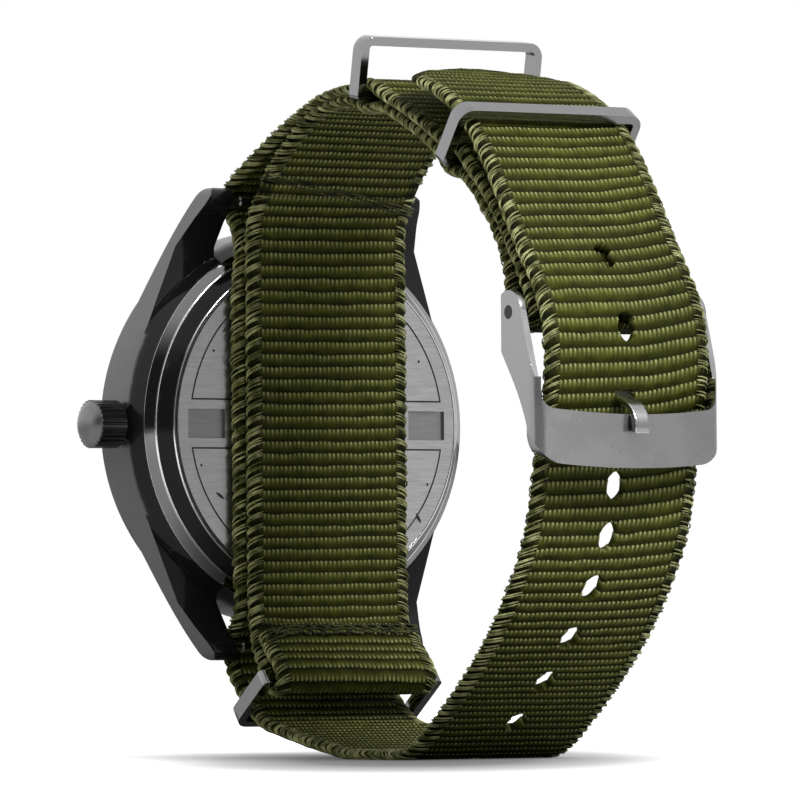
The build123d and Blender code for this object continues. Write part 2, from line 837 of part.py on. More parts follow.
def tip_corners(route):
    """What is cut off the tail's end to round it."""
    end = on_strap(route, 0)
    half = strap_width / 2
    way = 1 if end.y_dir.Y > 0 else -1
    blank = Pos(0, way * (tip_round - overrun) / 2) * Rectangle(strap_width + overrun, tip_round + overrun)
    blank = blank - Pos(0, way * tip_round) * Ellipse(half, tip_round)
    return end.location * extrude(blank, strap_thick, both=True)


def strap_main():
    """Long strap: tail, floor, ring, bars, fold round the buckle's bar and back to the seam."""
    tail = tail_route()
    low = low_route()
    high = high_route()
    routes = [tail, Line(tail @ 1, low @ 0), low, Line(low @ 1, high @ 0), high]
    strap = ribbon(routes, strap_thick, strap_width)
    for hole in strap_holes(tail):
        strap = strap - hole
    strap = strap - tip_corners(tail)
    end = fold_base() % 1
    frame = Plane(origin=(0, pivot[0], pivot[1]), x_dir=(1, 0, 0), z_dir=(0, end.X, end.Y))
    reach = buckle_wrap + strap_thick
    slot = block((-tongue_slot / 2, -reach, -tongue_slot_up),
                 (tongue_slot, 2 * reach, tongue_slot_up + reach))
    return strap - frame.location * slot


def secondary_route():
    """From the seam down behind the case, round the ring's bar and back up."""
    inner = fold_layer(-1, 0)
    slope = (inner[0] - inner[1]).normalized()
    start = inner[0] + slope * seam_gap
    points = [start] + [side_point(shares) for shares in reversed(secondary_top_shares)]
    points.append(Vector(secondary_depth, behind_half))
    upper = Spline(*points, tangents=[slope, (0, -1)], tangent_scalars=end_paces)
    points = [Vector(secondary_depth, -behind_half)]
    points += [side_point(shares) for shares in secondary_low_shares]
    points += round_points(ring_middle, pin_wrap, ring_wrap_degrees)
    points += [side_point(shares) for shares in secondary_back_shares]
    slope = (points[-1] - points[-2]).normalized()
    lower = Spline(*points, tangents=[(0, -1), slope], tangent_scalars=end_paces)
    return [upper, Line(upper @ 1, lower @ 0), lower]


def loop_ring(height, half, middle, out):
    """Rectangular metal loop with a round bar, standing out from a place along a direction."""
    outline = Rectangle(2 * half, height)
    outline = fillet(outline.vertices().sort_by(Axis.Y)[2:], keeper_corner)
    outline = fillet(outline.vertices().sort_by(Axis.Y)[:2], keeper_foot)
    window = RectangleRounded(2 * (half - keeper_thick), height, keeper_inner_corner)
    face = Pos(0, height / 2 - pin_radius) * (outline - Pos(0, -keeper_thick) * window)
    loop = extrude(Plane.XZ * face, keeper_band / 2, both=True)
    bar = Plane.YZ * Circle(pin_radius)
    loop = loop + extrude(bar, half - keeper_thick / 2, both=True)
    frame = Plane(origin=(0, middle[0], middle[1]), x_dir=(1, 0, 0), z_dir=(0, out[0], out[1]))
    return frame.location * loop


def fold_keeper(share, lean):
    """Keeper whose bar lies between the fold's layers, leaning towards the buckle."""
    base = fold_base()
    place = base @ share
    out = across(base % share).rotate(Axis.Z, -lean)
    return loop_ring(keeper_height, keeper_half, (place.X, place.Y), (out.X, out.Y))


def buckle_front():
    """Front of the buckle's plate, with the starts of its arms at both ends."""
    window_half = frame_half - frame_thick
    arm_start = plate_high + 2 * window_corner
    top = ThreePointArc((-window_half, plate_high), (0, plate_high - plate_smile), (window_half, plate_high))
    low = ThreePointArc((-frame_half, plate_low), (0, plate_low - plate_smile), (frame_half, plate_low))
    front = top + low
    for side in (-1, 1):
        front = front + Line((side * window_half, plate_high), (side * window_half, arm_start))
        front = front + Line((side * window_half, arm_start), (side * frame_half, arm_start))
        front = front + Line((side * frame_half, arm_start), (side * frame_half, plate_low))
    face = make_face(front)
    lowest = face.vertices().sort_by(Axis.Y)
    face = fillet(lowest[:2], plate_corner)
    inner = [corner for corner in face.vertices()
             if abs(corner.Y - plate_high) < fit_gap and abs(corner.X) < frame_half - fit_gap]
    return fillet(inner, window_corner)


def buckle_frame():
    """Two arms with rounded ends and a bowed plate across them, bent from one sheet."""
    depth, height = pivot
    foot = plate_low + plate_corner
    back_edge = [(depth - arm_end_radius, height)]
    back_edge += [(depth + over, height + up) for over, up in arm_back_steps]
    back_edge += [(plate_front - arm_root, plate_high), (plate_front - arm_foot, foot)]
    front_edge = [back_edge[-1], (plate_front, foot), (plate_front, plate_high + window_corner),
                  (depth + arm_end_radius, height), back_edge[0]]
    side = make_face(Spline(*back_edge) + Polyline(*front_edge))
    side = side + Pos(depth, height) * Circle(arm_end_radius)
    side = side - Pos(depth, height) * Circle(buckle_pin_radius + press_gap)
    arm = Pos(frame_half - frame_thick, 0, 0) * extrude(Plane.YZ * side, frame_thick)
    back = plate_front - 2 * arm_end_radius - frame_bend
    bow = ThreePointArc((-frame_half, plate_front), (0, plate_front + plate_bow), (frame_half, plate_front))
    plan = make_face(bow + Polyline((-frame_half, plate_front), (-frame_half, back),
                                    (frame_half, back), (frame_half, plate_front)))
    plan = fillet(plan.vertices().sort_by(Axis.Y)[-2:], frame_bend)
    reach = height + 2 * arm_end_radius
    solid = extrude(Plane.XY.offset(-reach) * plan, 2 * reach)
    shell = plan - offset(plan, -frame_thick)
    behind = Location((-frame_half, back)) * Rectangle(
        2 * frame_half, plate_front - frame_bend - back, align=(Align.MIN, Align.MIN))
    shell = extrude(Plane.XY.offset(-reach) * (shell - behind), 2 * reach)
    prism = extrude(Plane.XZ * buckle_front(), 2 * plate_bow + 2 * frame_bend + 2 * overrun)
    prism = Pos(0, plate_front + plate_bow + overrun, 0) * prism
    return ((arm + mirror(arm, Plane.YZ)) & solid) + (shell & prism)


def buckle_bar():
    """Round bar through the frame's arms."""
    bar = extrude(Plane.YZ * Circle(buckle_pin_radius), frame_half, both=True)
    return Pos(0, *pivot) * bar


def buckle_tongue():
    """Tongue with an eye round the bar, through the strap's hole and over the plate."""
    eye = buckle_pin_radius + tongue_gap
    ring = Circle(eye + tongue_eye_wall) - Circle(eye)
    body = extrude(Plane.YZ * (Pos(*pivot) * ring), tongue_width / 2, both=True)
    route = Spline(*[side_point(shares) for shares in tongue_shares])
    return body + ribbon([route], tongue_thick, tongue_width)


# The case and what is in it
save("mid_case", facing * mid_case())
save("bezel", facing * bezel())
save("crystal", facing * crystal())
save("crystal_gasket", facing * disc(bezel_window_radius, crystal_seat, crystal_front, crystal_radius))
save("dial", facing * disc(dial_radius, dial_back, dial_front, dial_hole_radius))
save("dial_markers", facing * dial_markers())
save("dial_ring", facing * dial_ring())
hour_hand = pointed_hand(hour_reach, hour_width, hour_radius + press_gap, hour_level)
save("hour_hand", facing * Rot(0, 0, -hour_hand_degrees) * hour_hand)
minute_hand = pointed_hand(minute_reach, minute_width, cannon_radius + press_gap, minute_level)
save("minute_hand", facing * Rot(0, 0, -minute_hand_degrees) * minute_hand)
save("seconds_hand", facing * Rot(0, 0, -seconds_hand_degrees) * seconds_hand())
save("cannon_pinion", facing * cannon_pinion())
save("minute_wheel", facing * minute_wheel())
save("hour_wheel", facing * hour_wheel())
save("seconds_arbor", facing * seconds_arbor())
save("main_plate", facing * main_plate())
save("train_bridge", facing * train_bridge())
save("battery", facing * battery())
save("battery_clamp", facing * battery_clamp())
save("stator", facing * stator())
save("coil", facing * coil())
save("movement_holder", facing * movement_holder())
save("stem", facing * stem())
save("sliding_pinion", facing * sliding_pinion())
save("setting_lever", facing * setting_lever())
save("crown", facing * crown())
save("crown_tube", facing * crown_tube())
save("crown_gasket", facing * crown_gasket())
save("caseback_rim", facing * caseback_rim())
save("caseback_seat_ring", facing * seat_ring())
save("caseback_plate", facing * caseback_plate())
save("caseback_gasket", facing * caseback_gasket())

# Spring bars
for side, place_name in ((1, "top"), (-1, "bottom")):
    place = bar_location(side)
    save(f"{place_name}_bar_tube", place * disc(bar_radius, -bar_half, bar_half, bar_bore))
    save(f"{place_name}_bar_spring", place * bar_spring())
    for way, way_name in ((1, "crown_side"), (-1, "far_side")):
        save(f"{place_name}_bar_tip_{way_name}", place * bar_tip(way))

# Strap, keepers and buckle
save("strap_main", strap_main())
save("strap_secondary", ribbon(secondary_route(), strap_thick, strap_width))
save("free_keeper", fold_keeper(free_keeper_share, free_keeper_lean_degrees))
save("buckle_keeper", fold_keeper(buckle_keeper_share, buckle_keeper_lean_degrees))
ring_foot = side_point(ring_end_shares)
ring_way = Vector(ring_foot.X - ring_middle[0], ring_foot.Y - ring_middle[1]).normalized()
save("strap_ring", loop_ring(ring_height, keeper_half, ring_middle, (ring_way.X, ring_way.Y)))
save("buckle_frame", buckle_frame())
save("buckle_bar", buckle_bar())
save("buckle_tongue", buckle_tongue())
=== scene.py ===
"""Looks of the field watch: its woven strap, coated case, brushed back and steel hardware."""
import math

import bmesh
import bpy
import numpy as np
from mathutils import Matrix, Vector


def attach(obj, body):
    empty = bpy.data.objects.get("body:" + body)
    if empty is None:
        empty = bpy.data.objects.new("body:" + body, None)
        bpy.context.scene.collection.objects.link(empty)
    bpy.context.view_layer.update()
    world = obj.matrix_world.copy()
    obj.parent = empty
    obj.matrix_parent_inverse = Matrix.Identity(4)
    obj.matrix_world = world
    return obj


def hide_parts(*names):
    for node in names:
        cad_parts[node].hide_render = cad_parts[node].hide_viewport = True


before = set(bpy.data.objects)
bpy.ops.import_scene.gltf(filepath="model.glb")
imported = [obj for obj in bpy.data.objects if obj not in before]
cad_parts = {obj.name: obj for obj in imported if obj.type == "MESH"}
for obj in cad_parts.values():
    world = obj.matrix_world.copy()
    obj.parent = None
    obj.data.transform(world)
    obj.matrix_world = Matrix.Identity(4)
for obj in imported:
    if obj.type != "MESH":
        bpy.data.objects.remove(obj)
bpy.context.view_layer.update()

# Lengths below are in millimetres, and places lie round the case's middle, unless a comment says metres
mm = 0.001
case_middle = np.array([0.0, -26.2, 35.3495])

# Camera. The picture's size, the focal length and the case's middle in the picture are in pixels
picture_size = 800.0
sensor_width = 36.0
focal_pixels = 8000.0
camera_turn_degrees = 33.40776
camera_rise_degrees = -1.797
camera_roll_degrees = -0.435
camera_distance = 853.046
middle_in_picture = (310.301, 424.986)

# Strap
strap_width = 20.0
strap_thick = 1.0
layer_gap = 0.1
soft_gap = 0.3
wrap_gap = soft_gap + strap_thick / 2
loop_depth = 58.0
loop_half_height = 35.0
floor_share = 0.9957
floor_length = 9.5
floor_middle = 26.2
behind_half = 18.0
behind_depth = 2.05
secondary_depth = 3.25
bar_place = (0.1, 23.6)
bar_radius = 0.75
pin_radius = 0.5
ring_middle = (7.4, -27.0)
buckle_pivot = (54.5, 9.7)
buckle_pin_radius = 0.7
seam_gap = 0.1
tip_round = 5.0
hole_width = 2.2
hole_length = 3.0
hole_pitch = 7.0
tongue_hole_height = 1.6
tongue_hole_half = (0.95, 0.75)
tongue_hole_drop = 0.3
tongue_slot = 3.0
tongue_slot_up = 3.4
hole_power = 2
slot_power = 8
fold_samples = 48
outer_from_share = 0.22
spread_from_share = 0.9
pin_bump_share = 0.03
keeper_shares = (0.403, 0.698)
hole_steps_share = [-2.1, -0.97, 1.33, 2.07, 2.87, 3.77, 4.67, 5.62, 6.97]

# Routes of the strap, as shares of the loop's depth and of its half height
tail_shares = [
    (0.534, 1.015), (0.631, 0.966), (0.734, 0.884), (0.810, 0.764), (0.879, 0.600), (0.943, 0.434),
    (0.990, 0.283), (0.998, 0.129), (0.979, -0.029), (0.959, -0.171), (0.943, -0.329), (0.905, -0.483),
    (0.840, -0.631), (0.753, -0.771), (0.659, -0.894), (0.595, -0.965),
]
under_shares = [
    (0.328, -0.986), (0.267, -0.969), (0.195, -0.946), (0.129, -0.923), (0.083, -0.898),
    (0.053, -0.862), (0.027, -0.822), (0.003, -0.783),
]
arch_shares = [(0.010, 0.745), (0.058, 0.789), (0.119, 0.840)]
fold_shares = [
    (0.086, 0.703), (0.109, 0.751), (0.148, 0.809), (0.214, 0.883), (0.278, 0.931), (0.348, 0.954),
    (0.431, 0.954), (0.514, 0.920), (0.583, 0.871), (0.647, 0.817), (0.707, 0.757), (0.771, 0.694),
    (0.822, 0.617), (0.867, 0.529), (0.900, 0.440), (0.921, 0.357),
]
secondary_top_shares = [(0.0595, 0.600), (0.0707, 0.646)]
secondary_low_shares = [(0.058, -0.571), (0.067, -0.651), (0.086, -0.723)]
secondary_back_shares = [(0.1155, -0.694), (0.0931, -0.646), (0.081, -0.611)]
ring_wrap_degrees = [200, 250, 300, 350, 30]
bar_wrap_degrees = [205, 180, 150, 115]
buckle_wrap_degrees = [30, 0, -30, -60, -90, -120, -150]

# Weave: rib pitch along the strap, how far the ribs slide towards the far edge, how far the strap
# lies to one side, each against the distance from the strap's tip
rib_pitches = [
    (0, 1.30), (15, 1.38), (28, 1.46), (38, 1.50), (54, 1.50), (63, 1.30), (72, 1.12), (78, 1.0), (83, 1.0),
    (90, 1.12), (97, 1.3), (340, 1.3),
]
rib_slides = [(0, 0.0), (14, 0.5), (26, 1.5), (52, 1.7), (64, 0.9), (76, 0.3), (84, 0.0), (340, 0.0)]
side_shifts = [
    (0, 0.0), (30, 0.0), (38, -0.4), (50, -0.85), (58, -0.6), (68, 0.0), (118, 0.0), (128, 0.15),
    (140, 1.0), (170, 1.1), (180, 0.2), (196, 0.0), (340, 0.0),
]
secondary_pitches = [(0, 1.38), (20, 1.34), (50, 1.20), (70, 1.20)]
secondary_slides = [(0, 0.25), (80, 0.25)]
secondary_shifts = [(0, 0.0), (80, 0.0)]
far_slide_power = 1.6
near_slide = 0.25
band_samples = 4000
rib_rows = 6
bead_count = 36
rib_heights = [0.70, 1.0, 0.95, 0.78, 0.45, 0.0]
bead_raise = 0.55
bead_sizes = (0.5, 1.3)
valley_half = 0.38
rib_raise = 0.14
wobble_columns = 14
wobble_depth = 0.04
edge_power = 14
edge_least = 0.2
body_half = 9.88
tip_limit = 0.985
line_steps = 24
tiny = 1e-9
tiniest = 1e-12

# Selvedge yarns, which cross each other in two ways, 1 and -1
yarn_radius = 0.085
bare_tip_ribs = 4
yarn_sides = 5
yarn_steps = 12
yarn_end = 0.45
strand_gap = 0.30
yarn_from = 8.45
yarn_reach = 1.55
yarn_leans = (1.5, -1.2)
yarn_lift = 0.52
yarn_swing_power = 0.8
yarn_way_reach = 0.05
yarn_way_lift = 0.04
yarn_stray = 0.06
yarn_stray_lift = 0.3
tube_guide = (0.3, 0.5, 0.81)

# Seam over the joint of the two straps: how far across it starts and ends, and how high there
seam_across = (-10.2, 10.2)
seam_heights = (22.6, 26.0)
seam_rows = (-0.30, 0.05, 0.40)
seam_stray = 0.015
seam_fold_points = 6
stitch_steps = 150
stitch_radius = 0.13
stitch_out = 0.05

# Stitches over the folded-back end, by their distance from it
fold_stitch_rows = (0.35, 0.75, 1.2)
fold_stitch_half = 9.9
fold_stitch_stray = 0.10
fold_stitch_rise = 0.5
fold_dip = 1.6
fold_dip_from = 5.0
stitch_lift = 0.58
stitch_length = 1.6
stitch_turns = 2 * math.pi / stitch_length
stitch_row_turn = 9
stitch_depth = 0.10

# Marks on the caseback's plate: across, height, length, slant
plate_depth = 1.40
mark_radius = 0.16
mark_steps = 4
mark_sides = 8
back_marks = [
    (12.96, 7.7, 0.2, 0), (14.6, -4.4, 0.2, 0), (-13.0, 6.9, 0.2, 0), (-14.0, -6.3, 0.2, 0),
    (11.4, 10.1, 1.1, -50), (12.3, -7.6, 1.1, 35), (-12.8, -9.9, 1.1, 60),
]

# Dial
dial_level = 6.24
numeral_reach = 10.6
numeral_size = 3.2
numeral_thick = 0.03
numeral_detail = 4
hour_degrees = 30

# Welding distances in metres, the turn up to which faces are joined and from which edges are rounded
weld_distance = 0.000002
numeral_weld = 0.000001
flat_degrees = 1
edge_degrees = 32

# In the finishes below, depths of grain are in metres and scales of noise count per metre
# Webbing: tones from one rib to the next, which paint shade, light at each rib's top and dark in the gap
# below it; beads, whose pale colour is partly their own and partly a painted highlight; and tones across
# the strap, a painted shade under the edge yarns
rib_tones_and_painted_shade = [
    (0.0, (0.044, 0.049, 0.006)), (0.14, (0.050, 0.055, 0.007)), (0.40, (0.036, 0.040, 0.004)),
    (0.68, (0.019, 0.022, 0.002)), (0.88, (0.007, 0.009, 0.001)), (1.0, (0.018, 0.021, 0.002)),
]
# The beads' pale colour is partly their own and partly a painted highlight
bead_colour_and_highlight = (0.27, 0.28, 0.115)
bead_stops = [(0.25, 0.0), (0.8, 1.0)]
bead_start = 0.12
bead_fade = [(0.0, 0.0), (0.06, 0.75), (0.12, 1.0), (0.22, 0.75), (0.36, 0.28), (0.62, 0.0)]
# Tones across the strap: darker near both edges, a painted shade under the edge yarns
edge_painted_shade = [(0.0, 0.25), (0.055, 0.3), (0.085, 1.0), (0.915, 1.0), (0.945, 0.3), (1.0, 0.25)]
webbing_patches = [(0.3, 0.75), (0.7, 1.2)]
fine_detail = 3.0
patch_scale = 90.0
speckle_scale = 900.0
speckle_tone = 1.6
thread_tone = 0.16
grain_base = 0.20
thread_height = 0.3
bead_height = 1.6
speckle_height = 0.6
webbing_depth = 0.00007
webbing_roughness = 0.7
webbing_specular = 0.06
# Brightness of the webbing's two copies; the short strap's darker copy paints shade inside the loop
long_brightness = 1.0
short_painted_shade_brightness = 0.95

# Yarns: dark and light tones, and the noise's values where each begins
yarn_places = (0.38, 0.68)
yarn_scale = 700.0
yarn_fine_scale = 2500.0
yarn_depth = 0.00003
yarn_roughness = 0.55
yarn_specular = 0.2
dark_yarn_tones = ((0.003, 0.003, 0.001), (0.055, 0.058, 0.018))
bright_yarn_tones = ((0.055, 0.060, 0.013), (0.30, 0.31, 0.14))

# Case coating: satin on side faces outside a radius, in metres times a scale
satin_scale = 20.0
satin_outside = [(0.404, 0.0), (0.41, 1.0)]
satin_sideways = [(0.12, 1.0), (0.22, 0.0)]
coating_colour = (0.006, 0.006, 0.0065)
satin_colour = (0.13, 0.131, 0.133)
satin_metallic = 0.9
coating_roughness = 0.03
satin_roughness = 0.24
grain_roughness = 0.10
coating_specular = 0.20
coating_grain = (260.0, 4.0, (1, 12, 1))
coating_depth = 0.000006

# Caseback plate: its dark lines and the painted shade on the floor of its notches, by their depth in
# millimetres
line_stops = [(0.03, 0.0), (0.05, 1.0), (0.14, 1.0), (0.18, 0.0)]
notch_shade_stops = [(0.18, 0.0), (0.24, 0.55)]
line_colour = (0.008, 0.008, 0.008)
notch_painted_shade = (0.12, 0.12, 0.12)
plate_tones = [(0.3, (0.42, 0.42, 0.425)), (0.7, (0.52, 0.52, 0.525))]
plate_roughness = [(0.2, 0.27), (0.8, 0.38)]
plate_grain = (500.0, 5.0, (1, 1, 14))
plate_grain_depth = 0.000008

# Crown: where its cap begins across the watch, in metres times a scale
cap_scale = 30.0
cap_stops = [(0.736, 0.0), (0.741, 1.0)]
cap_tones = [(0.3, (0.17, 0.17, 0.175)), (0.7, (0.215, 0.215, 0.22))]
knurl_colour = (0.004, 0.004, 0.004)
knurl_roughness = 0.14
cap_roughness = 0.20
crown_grain_scale = 900.0
crown_depth = 0.000006

# Crystal
glass_index = 1.52
glass_scale = 300.0
glass_roughness = [(0.3, 0.0), (0.7, 0.004)]

# Copper winding of the coil
winding_colour = (0.60, 0.24, 0.10)
winding_grain = (900.0, 4.0, (40, 1, 1))
winding_tones = [(0.3, 0.88), (0.7, 1.08)]
winding_roughness = [(0.2, 0.2975), (0.8, 0.4025)]
winding_depth = 0.00002

# Plain finishes: colour, metallic, roughness and, for some, specular level, mottling and its scale
plain_finishes = {
    # The two edge finishes are brighter than the parts they round and paint highlights along the edges
    "coating_edge": ((0.20, 0.20, 0.205), 1.0, 0.18),
    "satin_hardware": ((0.385, 0.385, 0.385), 1.0, 0.27, 0.5, 0.02, 250.0),
    "hardware_edge": ((0.92, 0.92, 0.915), 1.0, 0.12),
    # The buckle's bar is steel painted dark: painted shade in and round the frame's holes
    "painted_shade_steel": ((0.05, 0.05, 0.05), 1.0, 0.3),
    "bright_steel": ((0.27, 0.27, 0.275), 1.0, 0.14, 0.5, 0.02),
    "polished_steel": ((0.23, 0.23, 0.235), 1.0, 0.07, 0.5, 0.02),
    "works_steel": ((0.55, 0.55, 0.56), 1.0, 0.22),
    "works_brass": ((0.62, 0.48, 0.22), 1.0, 0.28),
    "seal_rubber": ((0.012, 0.012, 0.012), 0.0, 0.6),
    "dial_paint": ((0.008, 0.008, 0.009), 0.0, 0.6, 0.2, 0.08, 1500.0),
    "luminous_paint": ((0.62, 0.66, 0.52), 0.0, 0.5),
    "battery_can": ((0.62, 0.62, 0.63), 1.0, 0.18),
    "holder_plastic": ((0.35, 0.35, 0.34), 0.0, 0.5),
}
mottle_places = (0.3, 0.7)
mottled_roughness = (0.9, 1.1)
plain_nodes = {
    "painted_shade_steel": ["buckle_bar"],
    "seal_rubber": ["crystal_gasket", "crown_gasket", "caseback_gasket"],
    "dial_paint": ["dial", "dial_ring"],
    "luminous_paint": ["dial_markers", "hour_hand", "minute_hand", "seconds_hand"],
    "works_brass": ["main_plate", "train_bridge", "minute_wheel", "hour_wheel", "seconds_arbor"],
    "works_steel": [
        "cannon_pinion", "stator", "stem", "sliding_pinion", "setting_lever", "crown_tube", "battery_clamp",
        "top_bar_tube", "top_bar_spring", "top_bar_tip_crown_side", "top_bar_tip_far_side",
        "bottom_bar_tube", "bottom_bar_spring", "bottom_bar_tip_crown_side", "bottom_bar_tip_far_side",
    ],
    "battery_can": ["battery"],
    "holder_plastic": ["movement_holder"],
}

# Nodes with rounded edges: finish, edge finish, brighter to paint a highlight along the edges, edge width,
# segments, whether flat faces are joined
rounded_nodes = {
    "bezel": ("black_coating", "coating_edge", 0.10, 2, False),
    "mid_case": ("black_coating", "coating_edge", 0.14, 2, False),
    "caseback_rim": ("black_coating", "hardware_edge", 0.10, 2, False),
    "caseback_seat_ring": ("polished_steel", "hardware_edge", 0.11, 2, False),
    "buckle_tongue": ("satin_hardware", "hardware_edge", 0.12, 2, False),
    "free_keeper": ("bright_steel", "hardware_edge", 0.20, 3, True),
    "buckle_keeper": ("bright_steel", "hardware_edge", 0.20, 3, True),
    "strap_ring": ("bright_steel", "hardware_edge", 0.20, 3, True),
    "buckle_frame": ("satin_hardware", "hardware_edge", 0.22, 3, True),
}

# Floor, in metres. The shade's size is its reach across the picture and towards the camera
floor_half = 6.0
shade_middle = (0.008, 0.006, 0)
shade_size = (0.037, 0.135, 1)
shade_tones = [(0.0, 0.10), (0.30, 0.15), (0.55, 0.36), (0.75, 0.66), (0.88, 0.88), (1.0, 1.0)]
floor_colour = (0.80, 0.80, 0.80)
floor_mirrored_colour = (0.56, 0.56, 0.56)
floor_glow = 0.75

# Surroundings. A shade's range is two shares of its way, and the brightness at each
plain_light = 0.40
sky_way = (0.30, -0.72, 0.30)
sky_range = (-0.9, 0.8, 0.46, 1.1)
flag_way = (0.72, 0.69, -0.05)
flag_range = (0.62, 0.86, 1.0, 0.05)

# Lamps: name, place in metres, side in metres, watts, and whether shiny faces show it
lamp_aim = (0, 0, 0.035)
lamps = [
    ("key", (-0.12, 0.62, 0.60), 0.30, 10.0, True),
    ("fill", (0.65, 0.25, 0.30), 0.40, 1.5, False),
]
# How far the camera sees, in metres
camera_sight = 20.0


def smooth_line(points, start_way, end_way):
    """Cubic line through points that leaves and arrives along two ways, finely sampled."""
    points = np.array(points, float)
    steps = np.linalg.norm(np.diff(points, axis=0), axis=1)
    count = len(points)
    system = np.eye(count)
    wanted = np.zeros((count, 2))
    wanted[0] = start_way / np.linalg.norm(start_way)
    wanted[-1] = end_way / np.linalg.norm(end_way)
    for k in range(1, count - 1):
        before, after = steps[k - 1], steps[k]
        system[k, k - 1:k + 2] = after, 2 * (before + after), before
        wanted[k] = 3 * (after * (points[k] - points[k - 1]) / before
                         + before * (points[k + 1] - points[k]) / after)
    slopes = np.linalg.solve(system, wanted)
    t = np.linspace(0, 1, line_steps, endpoint=False)[:, None]
    runs = []
    for k in range(count - 1):
        runs.append((2 * t**3 - 3 * t**2 + 1) * points[k] + (t**3 - 2 * t**2 + t) * steps[k] * slopes[k]
                    + (3 * t**2 - 2 * t**3) * points[k + 1] + (t**3 - t**2) * steps[k] * slopes[k + 1])
    runs.append(points[-1:])
    return np.concatenate(runs)


def lengths(line):
    """Distance along a sampled line at each of its points."""
    return np.concatenate(([0], np.cumsum(np.linalg.norm(np.diff(line, axis=0), axis=1))))


def frames(line, distances):
    """Points of a line at distances along it, and the directions out of it there."""
    marks = lengths(line)
    keep = np.concatenate(([True], np.diff(marks) > tiny))
    marks = marks[keep]
    line = line[keep]
    ways = np.gradient(line, marks, axis=0)
    shape = np.shape(distances)
    flat = np.ravel(distances)
    spot = np.stack([np.interp(flat, marks, line[:, k]) for k in (0, 1)], 1)
    way = np.stack([np.interp(flat, marks, ways[:, k]) for k in (0, 1)], 1)
    way /= np.linalg.norm(way, axis=1)[:, None]
    out = np.stack([-way[:, 1], way[:, 0]], 1)
    return spot.reshape(*shape, 2), out.reshape(*shape, 2)


def side_points(table):
    """Points of a route from their shares of the loop's depth and half height."""
    return [np.array([deep * loop_depth, high * loop_half_height]) for deep, high in table]


def round_points(middle, radius, degrees):
    """Points round a bar, by their angles from the depth's direction."""
    turns = np.radians(degrees)
    return [np.array(middle) + radius * np.array([math.cos(turn), math.sin(turn)]) for turn in turns]


def fold_half(share):
    """Half the distance between the middles of the fold's layers."""
    layer_half = (strap_thick + layer_gap) / 2
    room = pin_radius + wrap_gap - layer_half
    bump = sum(math.exp(-(((share - place) / pin_bump_share) ** 2)) for place in keeper_shares)
    spread = max(0, (share - spread_from_share) / (1 - spread_from_share))
    return layer_half + room * bump + (buckle_pin_radius + wrap_gap - layer_half) * spread**2


def fold_layer(side, first_share):
    """Points of one layer of the fold, the outer (1) or the inner (-1), from a share of its way."""
    points = side_points(fold_shares)
    base = smooth_line(points, points[1] - points[0], points[-1] - points[-2])
    length = lengths(base)[-1]
    places = []
    for step in range(fold_samples):
        share = step / fold_samples
        if share >= first_share:
            spot, out = frames(base, share * length)
            places.append(spot + out * side * fold_half(share))
    return places


def strap_line():
    """The long strap's middle line, from its tip down, through the ring, up and round the buckle's bar."""
    floor_height = -floor_share * loop_half_height
    points = side_points(tail_shares)
    points.append(np.array([floor_middle + floor_length / 2, floor_height]))
    tail = smooth_line(points, points[1] - points[0], np.array([-1, 0]))
    bar_wrap = bar_radius + wrap_gap
    points = [np.array([floor_middle - floor_length / 2, floor_height])]
    points += side_points(under_shares)
    points += round_points((bar_place[0], -bar_place[1]), bar_wrap, bar_wrap_degrees)
    points.append(np.array([behind_depth, -behind_half]))
    low = smooth_line(points, np.array([-1, 0]), np.array([0, 1]))
    points = [np.array([behind_depth, behind_half])]
    points += round_points(bar_place, bar_wrap, [-angle for angle in reversed(bar_wrap_degrees)])
    points += side_points(arch_shares)
    points += fold_layer(1, outer_from_share)
    points += round_points(buckle_pivot, buckle_pin_radius + wrap_gap, buckle_wrap_degrees)
    inner = fold_layer(-1, 0)
    points += inner[::-1]
    high = smooth_line(points, np.array([0, 1]), inner[0] - inner[1])
    return np.concatenate([tail, low, high]), lengths(tail)[-1], lengths(high)[-1]


def secondary_line():
    """The short strap's middle line, from the seam down, round the ring's bar and back up."""
    inner = fold_layer(-1, 0)
    slope = (inner[0] - inner[1]) / np.linalg.norm(inner[0] - inner[1])
    points = [inner[0] + slope * seam_gap]
    points += side_points(reversed(secondary_top_shares))
    points.append(np.array([secondary_depth, behind_half]))
    upper = smooth_line(points, slope, np.array([0, -1]))
    points = [np.array([secondary_depth, -behind_half])]
    points += side_points(secondary_low_shares)
    points += round_points(ring_middle, pin_radius + wrap_gap, ring_wrap_degrees)
    points += side_points(secondary_back_shares)
    lower = smooth_line(points, np.array([0, -1]), points[-1] - points[-2])
    return np.concatenate([upper, lower])


def from_table(table, distances):
    """Values of a table of (distance, value) at distances."""
    places, values = zip(*table)
    return np.interp(distances, places, values)


